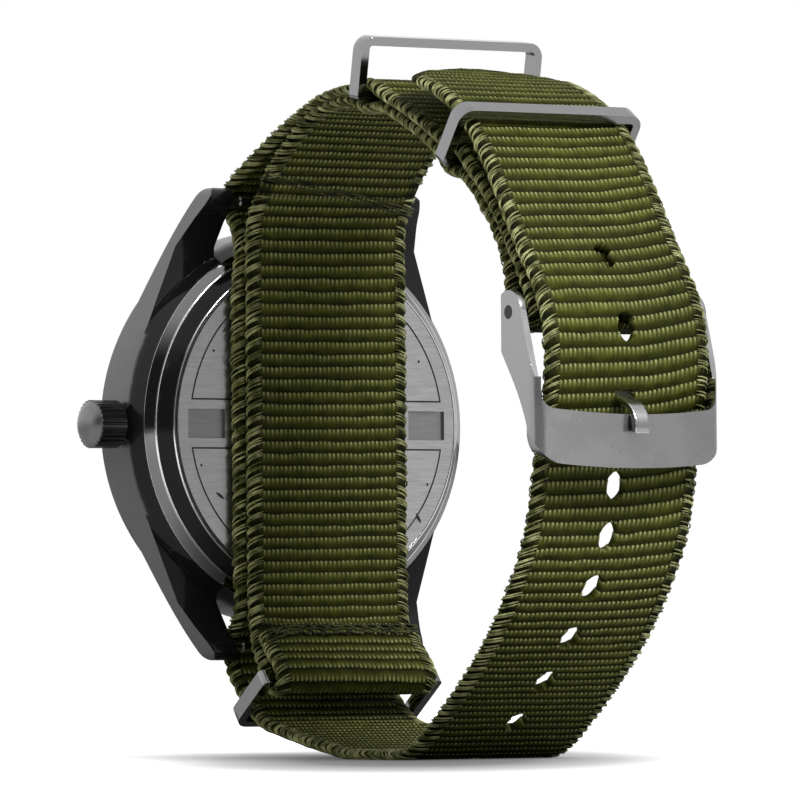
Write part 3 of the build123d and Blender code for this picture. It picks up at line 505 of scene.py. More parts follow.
class Band:
    """A woven strap laid along a line: where its ribs lie and where a point on it is."""

    def __init__(self, line, pitches, slides, shifts):
        self.line = line
        self.length = lengths(line)[-1]
        self.slides = slides
        self.shifts = shifts
        self.marks = np.linspace(0, self.length, band_samples)
        steps = np.diff(self.marks) / from_table(pitches, self.marks[1:])
        counts = np.concatenate(([0], np.cumsum(steps)))
        self.ribs = int(round(counts[-1]))
        self.counts = counts * self.ribs / counts[-1]

    def distance(self, rib):
        """Distance along the strap of a rib, counted from its start."""
        return np.interp(rib, self.counts, self.marks)

    def rib_at(self, distance):
        """Rib at a distance along the strap."""
        return np.interp(distance, self.marks, self.counts)

    def slid(self, across, distance):
        """Distance at which a rib's row passes a place across the strap."""
        far = np.clip(-across / (strap_width / 2), 0, 1)
        near = np.clip(across / (strap_width / 2), 0, 1)
        slide = from_table(self.slides, distance)
        return np.clip(distance - slide * (far**far_slide_power - near_slide * near), 0, self.length)

    def point(self, across, distance, lift):
        """Points in metres from places across the strap, along it and out of it."""
        spot, out = frames(self.line, distance)
        side = np.broadcast_to(across + from_table(self.shifts, distance), np.shape(distance))
        place = np.stack([side, spot[..., 0] + out[..., 0] * lift, spot[..., 1] + out[..., 1] * lift], -1)
        return (place + case_middle) * mm


def put(name, data):
    """New object in the scene."""
    made = bpy.data.objects.new(name, data)
    bpy.context.scene.collection.objects.link(made)
    return made


def make_object(name, points, faces, counts=None):
    """Mesh object from arrays of points and of faces, which have four corners or the given counts."""
    mesh = bpy.data.meshes.new(name)
    points = np.asarray(points, np.float32).reshape(-1, 3)
    faces = np.asarray(faces, np.int32)
    if counts is None:
        counts = np.full(len(faces), faces.shape[1], np.int32)
    loops = faces.ravel()
    starts = np.concatenate(([0], np.cumsum(counts)[:-1])).astype(np.int32)
    mesh.vertices.add(len(points))
    mesh.vertices.foreach_set("co", points.ravel())
    mesh.loops.add(len(loops))
    mesh.loops.foreach_set("vertex_index", loops)
    mesh.polygons.add(len(starts))
    mesh.polygons.foreach_set("loop_start", starts)
    mesh.polygons.foreach_set("use_smooth", np.ones(len(starts), bool))
    mesh.update(calc_edges=True)
    mesh.validate()
    return put(name, mesh)


def face_points(mesh):
    """Number of the point at each corner of a mesh's faces."""
    index = np.zeros(len(mesh.loops), np.int32)
    mesh.loops.foreach_get("vertex_index", index)
    return index


def set_map(piece, name, values):
    """UV map from two values per point."""
    layer = piece.data.uv_layers.new(name=name)
    layer.data.foreach_set("uv", np.asarray(values, np.float32)[face_points(piece.data)].ravel())


def dress(piece, body, slot, material, *replaced):
    """Give a new piece its body, its finish and the nodes that it stands for. The slot is not used."""
    piece.data.materials.append(material)
    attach(piece, body)
    if replaced:
        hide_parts(*replaced)


def superellipse(across, along, half_width, half_length, power):
    """How far out a place is in a rounded opening, 1 on its edge."""
    return ((np.abs(across) / half_width)**power + (np.abs(along) / half_length)**power)**(1 / power)


def wobble(chance, ribs, share):
    """How far each rib strays along the strap, smoothly across it."""
    count = int(ribs[-1]) + 2
    strays = chance.normal(0, wobble_depth, (count, wobble_columns))
    places = np.linspace(-1, 1, wobble_columns)
    by_rib = np.stack([np.interp(share, places, row) for row in strays])
    nearest = np.minimum(np.rint(ribs).astype(int), count - 1)
    return by_rib[nearest]


def touched(faces):
    """Points at the corners of the marked faces."""
    padded = np.pad(faces, 1)
    return padded[:-1, :-1] | padded[1:, :-1] | padded[:-1, 1:] | padded[1:, 1:]


def cut_openings(across, along, holes):
    """Faces that lie in openings. The points round each are moved onto its edge."""
    cut = np.zeros((across.shape[0] - 1, across.shape[1] - 1), bool)
    for place, half_width, half_length, power in holes:
        out = superellipse(across, along - place, half_width, half_length, power)
        centre = (out[:-1, :-1] + out[1:, :-1] + out[:-1, 1:] + out[1:, 1:]) / 4
        inside = centre < 1
        if inside.any():
            cut |= inside
            edge = touched(inside) & touched(~inside)
            across[edge] /= out[edge]
            along[edge] = place + (along[edge] - place) / out[edge]
    return cut


def opening_walls(cut, number):
    """Faces through the strap round its openings."""
    padded = np.pad(cut, 1)
    low_left, low_right = number[:-1, :-1], number[:-1, 1:]
    high_left, high_right = number[1:, :-1], number[1:, 1:]
    sides = [
        (padded[1:-1, :-2], low_left, high_left), (padded[1:-1, 2:], high_right, low_right),
        (padded[:-2, 1:-1], low_right, low_left), (padded[2:, 1:-1], high_left, high_right),
    ]
    walls = []
    for beside, start, end in sides:
        start, end = start[cut & ~beside], end[cut & ~beside]
        walls.append(np.stack([end, start, start + number.size, end + number.size], -1))
    return walls


def band_faces(cut):
    """Faces of a closed strap: both sides without the openings, its edges, its ends and the walls."""
    rows, columns = cut.shape[0] + 1, cut.shape[1] + 1
    number = np.arange(rows * columns).reshape(rows, columns)
    under = number + number.size
    keep = ~cut
    quads = [
        np.stack([number[:-1, :-1], number[:-1, 1:], number[1:, 1:], number[1:, :-1]], -1)[keep],
        np.stack([under[:-1, :-1], under[1:, :-1], under[1:, 1:], under[:-1, 1:]], -1)[keep],
        np.stack([number[:-1, 0], number[1:, 0], under[1:, 0], under[:-1, 0]], -1),
        np.stack([number[1:, -1], number[:-1, -1], under[:-1, -1], under[1:, -1]], -1),
        np.stack([number[0, 1:], number[0, :-1], under[0, :-1], under[0, 1:]], -1),
        np.stack([number[-1, :-1], number[-1, 1:], under[-1, 1:], under[-1, :-1]], -1),
    ]
    return np.concatenate(quads + opening_walls(cut, number))


def weave(name, band, first_rib, last_rib, holes=(), round_start=False):
    """Closed ribbed strap between two ribs, with beads along each rib and openings cut through."""
    rows = np.arange(first_rib * rib_rows, last_rib * rib_rows + 1)
    columns = 2 * bead_count + 1
    ribs = rows / rib_rows
    share = np.linspace(-1, 1, columns)
    across = np.broadcast_to(share * body_half, (len(rows), columns)).copy()
    along = np.broadcast_to(band.distance(ribs)[:, None], across.shape)
    if round_start:
        inward = np.clip(1 - along / tip_round, 0, tip_limit)
        across *= np.sqrt(1 - inward**2)
    chance = np.random.default_rng(first_rib + len(rows))
    along = np.clip(band.slid(across, along) + wobble(chance, ribs, share), 0, band.length)
    cut = cut_openings(across, along, holes)
    height = np.array(rib_heights)[rows % rib_rows][:, None]
    bead = (rows % rib_rows == 0)[:, None] * (np.arange(columns) % 2 == 0)[None, :]
    height = height + bead * bead_raise * chance.uniform(*bead_sizes, bead.shape)
    thin = np.maximum(edge_least, np.sqrt(1 - np.abs(share)**edge_power + tiny))
    lift = (valley_half + rib_raise * height) * thin[None, :]
    points = [band.point(across, along, side * lift) for side in (1, -1)]
    piece = make_object(name, points, band_faces(cut))
    marks = np.stack(np.broadcast_arrays(np.arange(columns) / 2, ribs[:, None]), -1).reshape(-1, 2)
    set_map(piece, "weave", np.concatenate([marks, marks]))
    remove_loose(piece.data)
    return piece


def remove_loose(mesh):
    """Delete the points that no face uses, such as those inside a cut opening."""
    used = np.zeros(len(mesh.vertices), bool)
    used[face_points(mesh)] = True
    if used.all():
        return
    work = bmesh.new()
    work.from_mesh(mesh)
    work.verts.ensure_lookup_table()
    bmesh.ops.delete(work, geom=[work.verts[k] for k in np.flatnonzero(~used)], context="VERTS")
    work.to_mesh(mesh)
    work.free()


def tubes(name, paths, radius, sides=yarn_sides):
    """Round threads along paths, an array of (threads, points, 3) in metres."""
    threads, steps = paths.shape[:2]
    ways = np.gradient(paths, axis=1)
    ways /= np.linalg.norm(ways, axis=2)[..., None] + tiniest
    first = np.cross(ways, tube_guide)
    first /= np.linalg.norm(first, axis=2)[..., None] + tiniest
    second = np.cross(ways, first)
    turns = 2 * np.pi * np.arange(sides) / sides
    taper = np.ones(steps)
    taper[0] = taper[-1] = yarn_end
    reach = radius * taper[None, :, None, None]
    rings = paths[:, :, None] + reach * (first[:, :, None] * np.cos(turns)[:, None]
                                         + second[:, :, None] * np.sin(turns)[:, None])
    number = np.arange(threads * steps * sides).reshape(threads, steps, sides)
    ahead = np.roll(number, -1, axis=2)
    quads = np.stack([number[:, :-1], number[:, 1:], ahead[:, 1:], ahead[:, :-1]], -1).reshape(-1, 4)
    caps = [number[:, 0].reshape(-1, sides), number[:, -1, ::-1].reshape(-1, sides)]
    faces = np.concatenate([quads.ravel(), caps[0].ravel(), caps[1].ravel()])
    counts = np.concatenate([np.full(len(quads), 4), np.full(2 * threads, sides)])
    return make_object(name, rings, faces, counts)


def selvedge(name, band, first_rib, last_rib, seed, bare=0):
    """Edge yarns that turn round both edges of a strap at every rib and cross each other."""
    chance = np.random.default_rng(seed)
    paths = []
    turn = np.linspace(0, 1, yarn_steps)
    swing = np.sin(np.pi * turn)
    drop = np.cos(np.pi * turn)
    ribs = np.arange(first_rib + bare, last_rib - 1)
    for side in (-1, 1):
        for way, lean in zip((1, -1), yarn_leans):
            for strand in (-0.5, 0.5):
                stray = chance.normal(0, yarn_stray, (len(ribs), 4))
                start = ribs[:, None] + 0.5 - lean / 2 + stray[:, :1]
                rib = start + turn * (lean + stray[:, 1:2]) + strand * strand_gap
                distance = band.distance(np.clip(rib, first_rib, last_rib))
                width = yarn_reach + yarn_way_reach * way + stray[:, 2:3]
                reach = yarn_from + width * swing**yarn_swing_power
                distance = band.slid(side * reach, distance)
                lift = yarn_lift + yarn_way_lift * way + yarn_stray_lift * stray[:, 3:4]
                lift = lift * way * drop
                paths.append(band.point(side * reach, distance, lift))
    return tubes(name, np.concatenate(paths), yarn_radius * mm)


def seam(name, seed):
    """Rows of thread laid slanting over the joint of the two straps."""
    chance = np.random.default_rng(seed)
    points = side_points(secondary_top_shares) + fold_layer(-1, 0)[:seam_fold_points]
    points = np.array(sorted(points, key=lambda point: point[1]))
    across = np.linspace(*seam_across, stitch_steps)
    paths = []
    for row in seam_rows:
        high = np.interp(across, seam_across, seam_heights)
        high = high + row + chance.normal(0, seam_stray, stitch_steps)
        deep = np.interp(high, points[:, 1], points[:, 0]) + strap_thick / 2 + stitch_out
        paths.append(np.stack([across, deep, high], -1))
    return tubes(name, (np.array(paths) + case_middle) * mm, stitch_radius * mm)


def fold_stitch(name, band, seed):
    """Rough rows of thread over the folded-back end of the short strap."""
    chance = np.random.default_rng(seed)
    across = np.linspace(-fold_stitch_half, fold_stitch_half, stitch_steps)
    dip = fold_dip * np.clip((across - fold_dip_from) / fold_dip_from, 0, 1)**2
    paths = []
    for row in fold_stitch_rows:
        stray = chance.normal(0, fold_stitch_stray, stitch_steps)
        wave = stitch_depth * np.cos(across * stitch_turns + row * stitch_row_turn)
        distance = np.clip(band.length - row + wave + stray - dip, 0, band.length)
        paths.append(band.point(across, distance, fold_stitch_rise * stray - stitch_lift))
    return tubes(name, np.array(paths), stitch_radius * mm)


def make_marks(name):
    """Small round and short straight marks on the caseback's plate."""
    paths = []
    for across, high, length, turn in back_marks:
        way = np.array([math.cos(math.radians(turn)), math.sin(math.radians(turn))])
        steps = np.linspace(-length / 2, length / 2, mark_steps)
        paths.append([(across + way[0] * step, plate_depth, high + way[1] * step) for step in steps])
    return tubes(name, (np.array(paths) + case_middle) * mm, mark_radius * mm, mark_sides)


def numeral_mesh(hour):
    """Mesh of one hour's number, at its place on the dial."""
    curve = bpy.data.curves.new("numeral", "FONT")
    curve.body = str(hour)
    curve.size = numeral_size * mm
    curve.extrude = numeral_thick * mm
    curve.align_x = "CENTER"
    curve.align_y = "CENTER"
    curve.resolution_u = numeral_detail
    number = put("numeral", curve)
    bpy.context.view_layer.update()
    mesh = bpy.data.meshes.new_from_object(number)
    turn = math.radians(hour_degrees * hour)
    place = np.array([numeral_reach * math.sin(turn), -dial_level, numeral_reach * math.cos(turn)])
    place = (place + case_middle) * mm
    mesh.transform(Matrix.Translation(place) @ Matrix.Rotation(math.pi / 2, 4, "X"))
    bpy.data.objects.remove(number)
    bpy.data.curves.remove(curve)
    return mesh


def make_numerals(name):
    """Hour numbers on the dial, as one thin mesh."""
    work = bmesh.new()
    for hour in range(1, 13):
        mesh = numeral_mesh(hour)
        work.from_mesh(mesh)
        bpy.data.meshes.remove(mesh)
    bmesh.ops.remove_doubles(work, verts=work.verts, dist=numeral_weld)
    mesh = bpy.data.meshes.new(name)
    work.to_mesh(mesh)
    work.free()
    return put(name, mesh)


def new_material(name):
    """New material, its node tree and its Principled shader."""
    material = bpy.data.materials.new(name)
    material.use_nodes = True
    tree = material.node_tree
    return material, tree, tree.nodes["Principled BSDF"]


def add(tree, kind, **settings):
    """New node with its settings."""
    node = tree.nodes.new("ShaderNode" + kind)
    for key, value in settings.items():
        setattr(node, key, value)
    return node


def join(tree, value, target):
    """Link a socket to an input, or put a number or a colour in it."""
    if isinstance(value, (int, float)):
        target.default_value = value
    elif isinstance(value, tuple):
        target.default_value = (*value, 1)
    else:
        tree.links.new(value, target)


def math_node(tree, operation, *inputs):
    """Math node whose inputs are sockets or numbers."""
    node = add(tree, "Math", operation=operation)
    for value, target in zip(inputs, node.inputs):
        join(tree, value, target)
    return node.outputs[0]


def times(tree, first, second):
    """Product of two sockets or numbers."""
    return math_node(tree, "MULTIPLY", first, second)


def scaled(tree, value, factor, offset):
    """A socket times a factor, plus an offset."""
    return math_node(tree, "MULTIPLY_ADD", value, factor, offset)


def blend(tree, share, first, second, mode="MIX"):
    """Mix of two colours, each a socket or three numbers."""
    node = add(tree, "Mix", data_type="RGBA", blend_type=mode)
    for value, target in ((share, node.inputs[0]), (first, node.inputs[6]), (second, node.inputs[7])):
        join(tree, value, target)
    return node.outputs[2]


def tinted(tree, first, second):
    """Product of two colours."""
    return blend(tree, 1.0, first, second, "MULTIPLY")


def ramp(tree, source, stops):
    """Colour ramp over stops of (place, value), for greys, or (place, colour)."""
    node = add(tree, "ValToRGB")
    join(tree, source, node.inputs[0])
    points = node.color_ramp.elements
    while len(points) < len(stops):
        points.new(0.5)
    for point, (place, value) in zip(points, stops):
        point.position = place
        point.color = (*value, 1) if isinstance(value, tuple) else (value, value, value, 1)
    return node.outputs[0]


def parts(tree, source):
    """The three numbers of a vector socket."""
    node = add(tree, "SeparateXYZ")
    join(tree, source, node.inputs[0])
    return node.outputs


def noise(tree, scale, detail=2.0, stretch=(1, 1, 1)):
    """Noise over the object's own coordinates, stretched along its axes."""
    mapping = add(tree, "Mapping")
    mapping.inputs["Scale"].default_value = stretch
    join(tree, add(tree, "TexCoord").outputs["Object"], mapping.inputs[0])
    node = add(tree, "TexNoise")
    node.inputs["Scale"].default_value = scale
    node.inputs["Detail"].default_value = detail
    join(tree, mapping.outputs[0], node.inputs[0])
    return node.outputs[0]


def finish(tree, shader, colour, roughness, metallic=0.0, specular=0.5):
    """Put a finish in a shader, each of its values a socket or a constant."""
    for key, value in (("Base Color", colour), ("Roughness", roughness), ("Metallic", metallic),
                       ("Specular IOR Level", specular)):
        join(tree, value, shader.inputs[key])


def bump(tree, shader, height, distance):
    """Bump from a height socket."""
    node = add(tree, "Bump")
    node.inputs["Distance"].default_value = distance
    join(tree, height, node.inputs["Height"])
    join(tree, node.outputs[0], shader.inputs["Normal"])


def bead_light(tree, bead_place, rib_place):
    """How much of the beads' pale colour, partly their own and partly a painted highlight, a place has,
    unlike from bead to bead.
    """
    wave = math_node(tree, "COSINE", times(tree, bead_place, 2 * math.pi))
    dot = ramp(tree, scaled(tree, wave, 0.5, 0.5), bead_stops)
    after = math_node(tree, "FRACT", math_node(tree, "ADD", rib_place, bead_start))
    cell = add(tree, "CombineXYZ")
    join(tree, math_node(tree, "ROUND", bead_place), cell.inputs[0])
    join(tree, math_node(tree, "ROUND", rib_place), cell.inputs[1])
    chance = add(tree, "TexWhiteNoise", noise_dimensions="2D")
    join(tree, cell.outputs[0], chance.inputs[0])
    uneven = scaled(tree, chance.outputs[0], 0.5, 0.5)
    return times(tree, times(tree, dot, ramp(tree, after, bead_fade)), uneven)


def webbing_material(name, brightness):
    """Olive nylon webbing: beads along each rib, smooth bands of thin threads between them, with painted
    shade down each rib and near the edges, and a painted highlight on the beads.
    """
    material, tree, shader = new_material(name)
    bead_place, rib_place, _ = parts(tree, add(tree, "UVMap", uv_map="weave").outputs[0])
    speckle = noise(tree, speckle_scale, fine_detail)
    thread = math_node(tree, "COSINE", times(tree, bead_place, 4 * math.pi))
    grain = scaled(tree, thread, thread_tone, times(tree, speckle, speckle_tone))
    grain = times(tree, math_node(tree, "ADD", grain, grain_base), brightness)
    # Tones from rib to rib are painted shade: light at each rib's top, dark in the gap below it
    toned = tinted(tree, ramp(tree, math_node(tree, "FRACT", rib_place), rib_tones_and_painted_shade), grain)
    toned = tinted(tree, toned, ramp(tree, noise(tree, patch_scale), webbing_patches))
    # Darker near the edges: painted shade under the edge yarns
    edge = ramp(tree, math_node(tree, "DIVIDE", bead_place, float(bead_count)), edge_painted_shade)
    toned = tinted(tree, toned, edge)
    # Beads' pale colour, partly a painted highlight, dimmed near the edges with the painted shade there
    bead = times(tree, bead_light(tree, bead_place, rib_place), edge)
    crest_colour_and_highlight = tuple(brightness * value for value in bead_colour_and_highlight)
    toned = blend(tree, bead, toned, crest_colour_and_highlight)
    finish(tree, shader, toned, webbing_roughness, specular=webbing_specular)
    height = scaled(tree, thread, thread_height, times(tree, bead, bead_height))
    height = math_node(tree, "ADD", height, times(tree, speckle, speckle_height))
    bump(tree, shader, height, webbing_depth)
    return material


def yarn_material(name, tones):
    """Olive yarn whose tone runs between two."""
    material, tree, shader = new_material(name)
    colour = ramp(tree, noise(tree, yarn_scale, fine_detail), list(zip(yarn_places, tones)))
    finish(tree, shader, colour, yarn_roughness, specular=yarn_specular)
    bump(tree, shader, noise(tree, yarn_fine_scale), yarn_depth)
    return material


def winding_material():
    """Copper wire with a fine grain along one direction."""
    material, tree, shader = new_material("copper_winding")
    grain = noise(tree, *winding_grain)
    colour = tinted(tree, winding_colour, ramp(tree, grain, winding_tones))
    finish(tree, shader, colour, ramp(tree, grain, winding_roughness), metallic=1.0)
    bump(tree, shader, grain, winding_depth)
    return material


def case_material():
    """Black coating: satin on the flanks, glossy elsewhere."""
    material, tree, shader = new_material("black_coating")
    geometry = add(tree, "NewGeometry")
    place = parts(tree, geometry.outputs["Position"])
    high = math_node(tree, "SUBTRACT", place[2], float(case_middle[2]) * mm)
    squares = scaled(tree, high, high, times(tree, place[0], place[0]))
    radius = times(tree, math_node(tree, "SQRT", squares), satin_scale)
    flat = math_node(tree, "ABSOLUTE", parts(tree, geometry.outputs["Normal"])[1])
    satin = times(tree, ramp(tree, flat, satin_sideways), ramp(tree, radius, satin_outside))
    grain = noise(tree, *coating_grain)
    rough = scaled(tree, satin, satin_roughness, coating_roughness)
    finish(tree, shader, blend(tree, satin, coating_colour, satin_colour),
           scaled(tree, grain, grain_roughness, rough),
           metallic=times(tree, satin, satin_metallic), specular=coating_specular)
    bump(tree, shader, times(tree, grain, satin), coating_depth)
    return material


def back_material():
    """Brushed plate of the caseback, its engraved lines dark and the floor of its notches darkened with
    painted shade.
    """
    material, tree, shader = new_material("brushed_back")
    place = parts(tree, add(tree, "NewGeometry").outputs["Position"])
    depth = math_node(tree, "SUBTRACT", (case_middle[1] + plate_depth) * mm, place[1])
    depth = times(tree, depth, 1 / mm)
    line = ramp(tree, depth, line_stops)
    grain = noise(tree, *plate_grain)
    # Floors of the notches are darkened: painted shade
    tone = blend(tree, ramp(tree, depth, notch_shade_stops), ramp(tree, grain, plate_tones), notch_painted_shade)
    finish(tree, shader, blend(tree, line, tone, line_colour), ramp(tree, grain, plate_roughness),
           metallic=math_node(tree, "SUBTRACT", 1.0, line))
    bump(tree, shader, grain, plate_grain_depth)
    return material


def crown_material():
    """Black knurled crown with a satin cap."""
    material, tree, shader = new_material("crown_coating")
    place = parts(tree, add(tree, "NewGeometry").outputs["Position"])
    cap = ramp(tree, times(tree, place[0], cap_scale), cap_stops)
    grain = noise(tree, crown_grain_scale, fine_detail)
    colour = blend(tree, cap, knurl_colour, ramp(tree, grain, cap_tones))
    finish(tree, shader, colour, scaled(tree, cap, cap_roughness, knurl_roughness), metallic=cap)
    bump(tree, shader, grain, crown_depth)
    return material


def glass_material():
    """Clear crystal."""
    material, tree, shader = new_material("crystal_glass")
    finish(tree, shader, (1, 1, 1), ramp(tree, noise(tree, glass_scale), glass_roughness))
    shader.inputs["Transmission Weight"].default_value = 1.0
    shader.inputs["IOR"].default_value = glass_index
    return material


def plain_material(name, colour, metallic, roughness, specular=0.5, mottling=0.06, scale=400.0):
    """Finish with a slight mottling of its colour and gloss."""
    material, tree, shader = new_material(name)
    patches = noise(tree, scale, fine_detail)
    low, high = mottle_places
    tone = ramp(tree, patches, [(low, 1.0 - mottling), (high, 1.0 + mottling)])
    rough = [(place, roughness * change) for place, change in zip(mottle_places, mottled_roughness)]
    finish(tree, shader, tinted(tree, colour, tone), ramp(tree, patches, rough),
           metallic=metallic, specular=specular)
    return material


def finish_node(name, material):
    """Put a finish on a CAD node."""
    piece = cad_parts[name]
    if piece.data.materials:
        piece.material_slots[0].material = material
    else:
        piece.data.materials.append(material)


def round_edges(name, edge, width, segments, flatten):
    """Round a CAD node's edges in a finish of their own, brighter than the node's to paint a highlight
    along them, with its flat faces joined first if asked.
    """
    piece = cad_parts[name]
    piece.data.materials.append(edge)
    piece.modifiers.new("join", "WELD").merge_threshold = weld_distance
    if flatten:
        flat = piece.modifiers.new("flat", "DECIMATE")
        flat.decimate_type = "DISSOLVE"
        flat.angle_limit = math.radians(flat_degrees)
    rounding = piece.modifiers.new("edges", "BEVEL")
    rounding.width = width * mm
    rounding.segments = segments
    rounding.limit_method = "ANGLE"
    rounding.angle_limit = math.radians(edge_degrees)
    rounding.material = 1
    piece.modifiers.new("shading", "WEIGHTED_NORMAL").keep_sharp = False


def tail_openings(line):
    """Openings of the tail: its row of holes, and the one that the tongue goes through."""
    marks = lengths(line)
    start = marks[np.flatnonzero((line[:, 1] < tongue_hole_height) & (line[:, 0] > loop_depth / 2))[0]]
    holes = [(start + step * hole_pitch, hole_width / 2, hole_length / 2, hole_power)
             for step in hole_steps_share]
    return holes + [(start + tongue_hole_drop, *tongue_hole_half, hole_power)]


def tongue_opening(line, high_start):
    """Opening for the tongue, where the long strap goes round the buckle's bar."""
    marks = lengths(line)
    near = np.linalg.norm(line - np.array(buckle_pivot), axis=1) < tongue_slot_up
    wrapped = marks[near & (marks > high_start)]
    return (wrapped[0] + wrapped[-1]) / 2, tongue_slot / 2, (wrapped[-1] - wrapped[0]) / 2, slot_power


def make_strap():
    """Both straps in four woven pieces, with their edge yarns and stitches."""
    line, tail_length, high_length = strap_line()
    main = Band(line, rib_pitches, rib_slides, side_shifts)
    short = Band(secondary_line(), secondary_pitches, secondary_slides, secondary_shifts)
    high_start = main.length - high_length
    tail_ribs = int(main.rib_at(tail_length + floor_length / 2))
    back_ribs = int(main.rib_at(high_start))
    holes = tail_openings(line)
    slot = tongue_opening(line, high_start)
    webbing = webbing_material("olive_webbing", long_brightness)
    # Darker copy of the webbing: painted shade on the short strap inside the loop
    short_webbing = webbing_material("olive_webbing_painted_shade", short_painted_shade_brightness)
    bright_yarn = yarn_material("selvedge_yarn", bright_yarn_tones)
    dark_yarn = yarn_material("seam_yarn", dark_yarn_tones)
    pieces = [
        (weave("strap_tail", main, 0, tail_ribs, holes, round_start=True), webbing, "strap_main"),
        (weave("strap_back", main, tail_ribs, back_ribs, holes), webbing, "strap_main"),
        (weave("strap_fold", main, back_ribs, main.ribs, [slot]), webbing, "strap_main"),
        (weave("strap_short", short, 0, short.ribs), short_webbing, "strap_secondary"),
        (selvedge("strap_edge_yarns", main, 0, back_ribs + 1, seed=7, bare=bare_tip_ribs), bright_yarn),
        (selvedge("strap_fold_edge_yarns", main, back_ribs, main.ribs, seed=9), bright_yarn),
        (selvedge("strap_short_edge_yarns", short, 0, short.ribs, seed=8), bright_yarn),
        (seam("strap_seam", seed=3), dark_yarn),
        (fold_stitch("fold_stitch", short, seed=4), dark_yarn),
    ]
    for piece, material, *replaced in pieces:
        dress(piece, "watch_and_strap", "olive_webbing", material, *replaced)


def finish_watch():
    """Finishes and rounded edges of the CAD nodes, the caseback's marks and the dial's numbers."""
    finishes = {name: plain_material(name, *values) for name, values in plain_finishes.items()}
    finishes["black_coating"] = case_material()
    for finish_name, names in plain_nodes.items():
        for name in names:
            finish_node(name, finishes[finish_name])
    for name, (finish_name, edge_name, *rounding) in rounded_nodes.items():
        finish_node(name, finishes[finish_name])
        round_edges(name, finishes[edge_name], *rounding)
    finish_node("caseback_plate", back_material())
    finish_node("crown", crown_material())
    finish_node("crystal", glass_material())
    finish_node("coil", winding_material())
    dress(make_marks("caseback_marks"), "watch_and_strap", "brushed_back", finishes["seal_rubber"])
    dress(make_numerals("dial_numerals"), "watch_and_strap", "luminous_paint", finishes["luminous_paint"])


def make_floor():
    """White floor with a soft grey shade that stretches out from under the strap."""
    corners = [(x * floor_half, y * floor_half, 0) for x, y in ((-1, -1), (1, -1), (1, 1), (-1, 1))]
    floor = make_object("floor", corners, [[0, 1, 2, 3]])
    material, tree, shader = new_material("floor")
    mapping = add(tree, "Mapping", vector_type="TEXTURE")
    mapping.inputs["Location"].default_value = shade_middle
    mapping.inputs["Rotation"].default_value = (0, 0, math.radians(-camera_turn_degrees))
    mapping.inputs["Scale"].default_value = shade_size
    join(tree, add(tree, "TexCoord").outputs["Object"], mapping.inputs[0])
    away = add(tree, "VectorMath", operation="LENGTH")
    join(tree, mapping.outputs[0], away.inputs[0])
    tone = ramp(tree, away.outputs["Value"], shade_tones)
    path = add(tree, "LightPath").outputs
    plain = blend(tree, path["Is Glossy Ray"], floor_colour, floor_mirrored_colour)
    finish(tree, shader, tinted(tree, plain, tone), 1.0, specular=0.0)
    seen = math_node(tree, "MAXIMUM", path["Is Camera Ray"], path["Is Transmission Ray"])
    glow = times(tree, seen, times(tree, tone, floor_glow))
    join(tree, (1, 1, 1), shader.inputs["Emission Color"])
    join(tree, glow, shader.inputs["Emission Strength"])
    floor.data.materials.append(material)


def mirrored_shade(tree, way, values):
    """Brightness that changes with the direction, from one share of a way to another."""
    turned = add(tree, "VectorMath", operation="DOT_PRODUCT")
    join(tree, add(tree, "TexCoord").outputs["Generated"], turned.inputs[0])
    turned.inputs[1].default_value = way
    shade = add(tree, "MapRange", interpolation_type="SMOOTHSTEP")
    join(tree, turned.outputs["Value"], shade.inputs["Value"])
    for key, value in zip(("From Min", "From Max", "To Min", "To Max"), values):
        shade.inputs[key].default_value = value
    return shade.outputs[0]


def choose(tree, share, first, second):
    """Number that is the first where a share is 0 and the second where it is 1."""
    node = add(tree, "Mix", data_type="FLOAT")
    for value, target in ((share, node.inputs[0]), (first, node.inputs[2]), (second, node.inputs[3])):
        join(tree, value, target)
    return node.outputs[0]


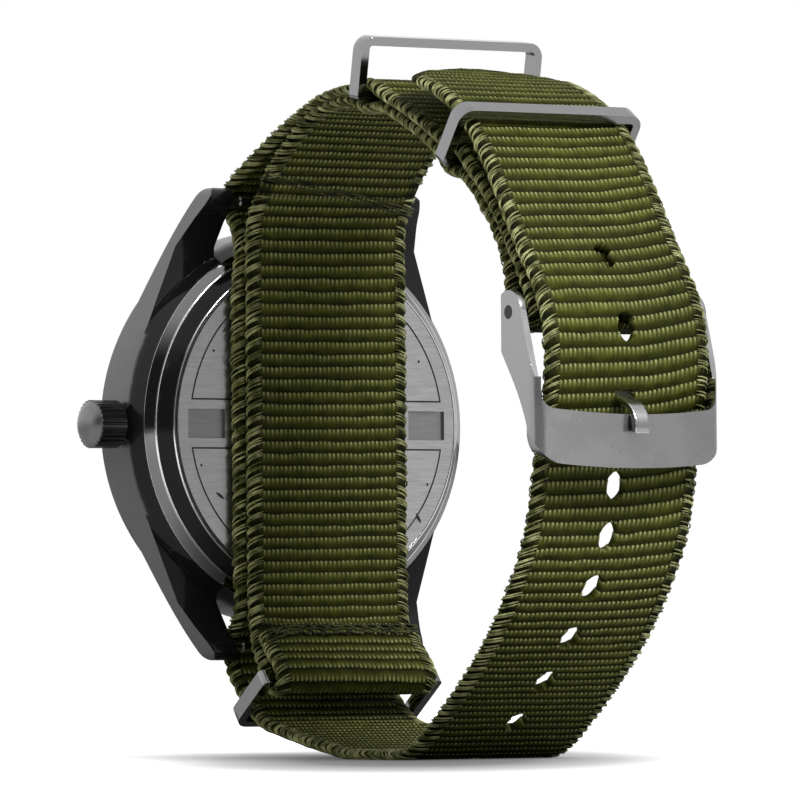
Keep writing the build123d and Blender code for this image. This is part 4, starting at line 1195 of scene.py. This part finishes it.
def make_world():
    """White to the camera, straight or through glass, shaded in shiny faces, elsewhere a plain light."""
    world = bpy.data.worlds.new("studio")
    bpy.context.scene.world = world
    world.use_nodes = True
    tree = world.node_tree
    background = tree.nodes["Background"].inputs
    path = add(tree, "LightPath").outputs
    sky = mirrored_shade(tree, sky_way, sky_range)
    shade = times(tree, sky, mirrored_shade(tree, flag_way, flag_range))
    light = choose(tree, path["Is Glossy Ray"], plain_light, shade)
    seen = math_node(tree, "MAXIMUM", path["Is Camera Ray"], path["Is Transmission Ray"])
    join(tree, (1, 1, 1), background["Color"])
    join(tree, choose(tree, seen, light, 1.0), background["Strength"])


def make_lamp(name, place, side, watts, mirrored):
    """Soft square lamp turned to the watch, and whether shiny faces show it."""
    data = bpy.data.lights.new(name, "AREA")
    data.shape = "SQUARE"
    data.size = side
    data.energy = watts
    lamp = put(name, data)
    lamp.location = place
    lamp.visible_glossy = mirrored
    lamp.rotation_euler = (Vector(lamp_aim) - Vector(place)).to_track_quat("-Z", "Y").to_euler()


def make_camera():
    """Camera where the photograph was taken from."""
    turn = math.radians(camera_turn_degrees)
    rise = math.radians(camera_rise_degrees)
    roll = math.radians(camera_roll_degrees)
    back = np.array([math.sin(turn) * math.cos(rise), math.cos(turn) * math.cos(rise), math.sin(rise)])
    right = np.cross(-back, (0, 0, 1))
    right /= np.linalg.norm(right)
    up = np.cross(right, -back)
    rolled_right = right * math.cos(roll) + up * math.sin(roll)
    rolled_up = up * math.cos(roll) - right * math.sin(roll)
    off = [(place - picture_size / 2) / focal_pixels * camera_distance for place in middle_in_picture]
    place = back * camera_distance - off[0] * rolled_right + off[1] * rolled_up
    place = (place + case_middle) * mm
    data = bpy.data.cameras.new("camera")
    data.sensor_width = sensor_width
    data.lens = focal_pixels / picture_size * sensor_width
    data.clip_end = camera_sight
    camera = put("camera", data)
    turned = Matrix((rolled_right, rolled_up, back)).transposed().to_4x4()
    camera.matrix_world = Matrix.Translation(place) @ turned
    bpy.context.scene.camera = camera


make_strap()
finish_watch()
make_floor()
make_world()
make_camera()
for lamp_values in lamps:
    make_lamp(*lamp_values)
bpy.context.scene.view_settings.view_transform = "Standard"
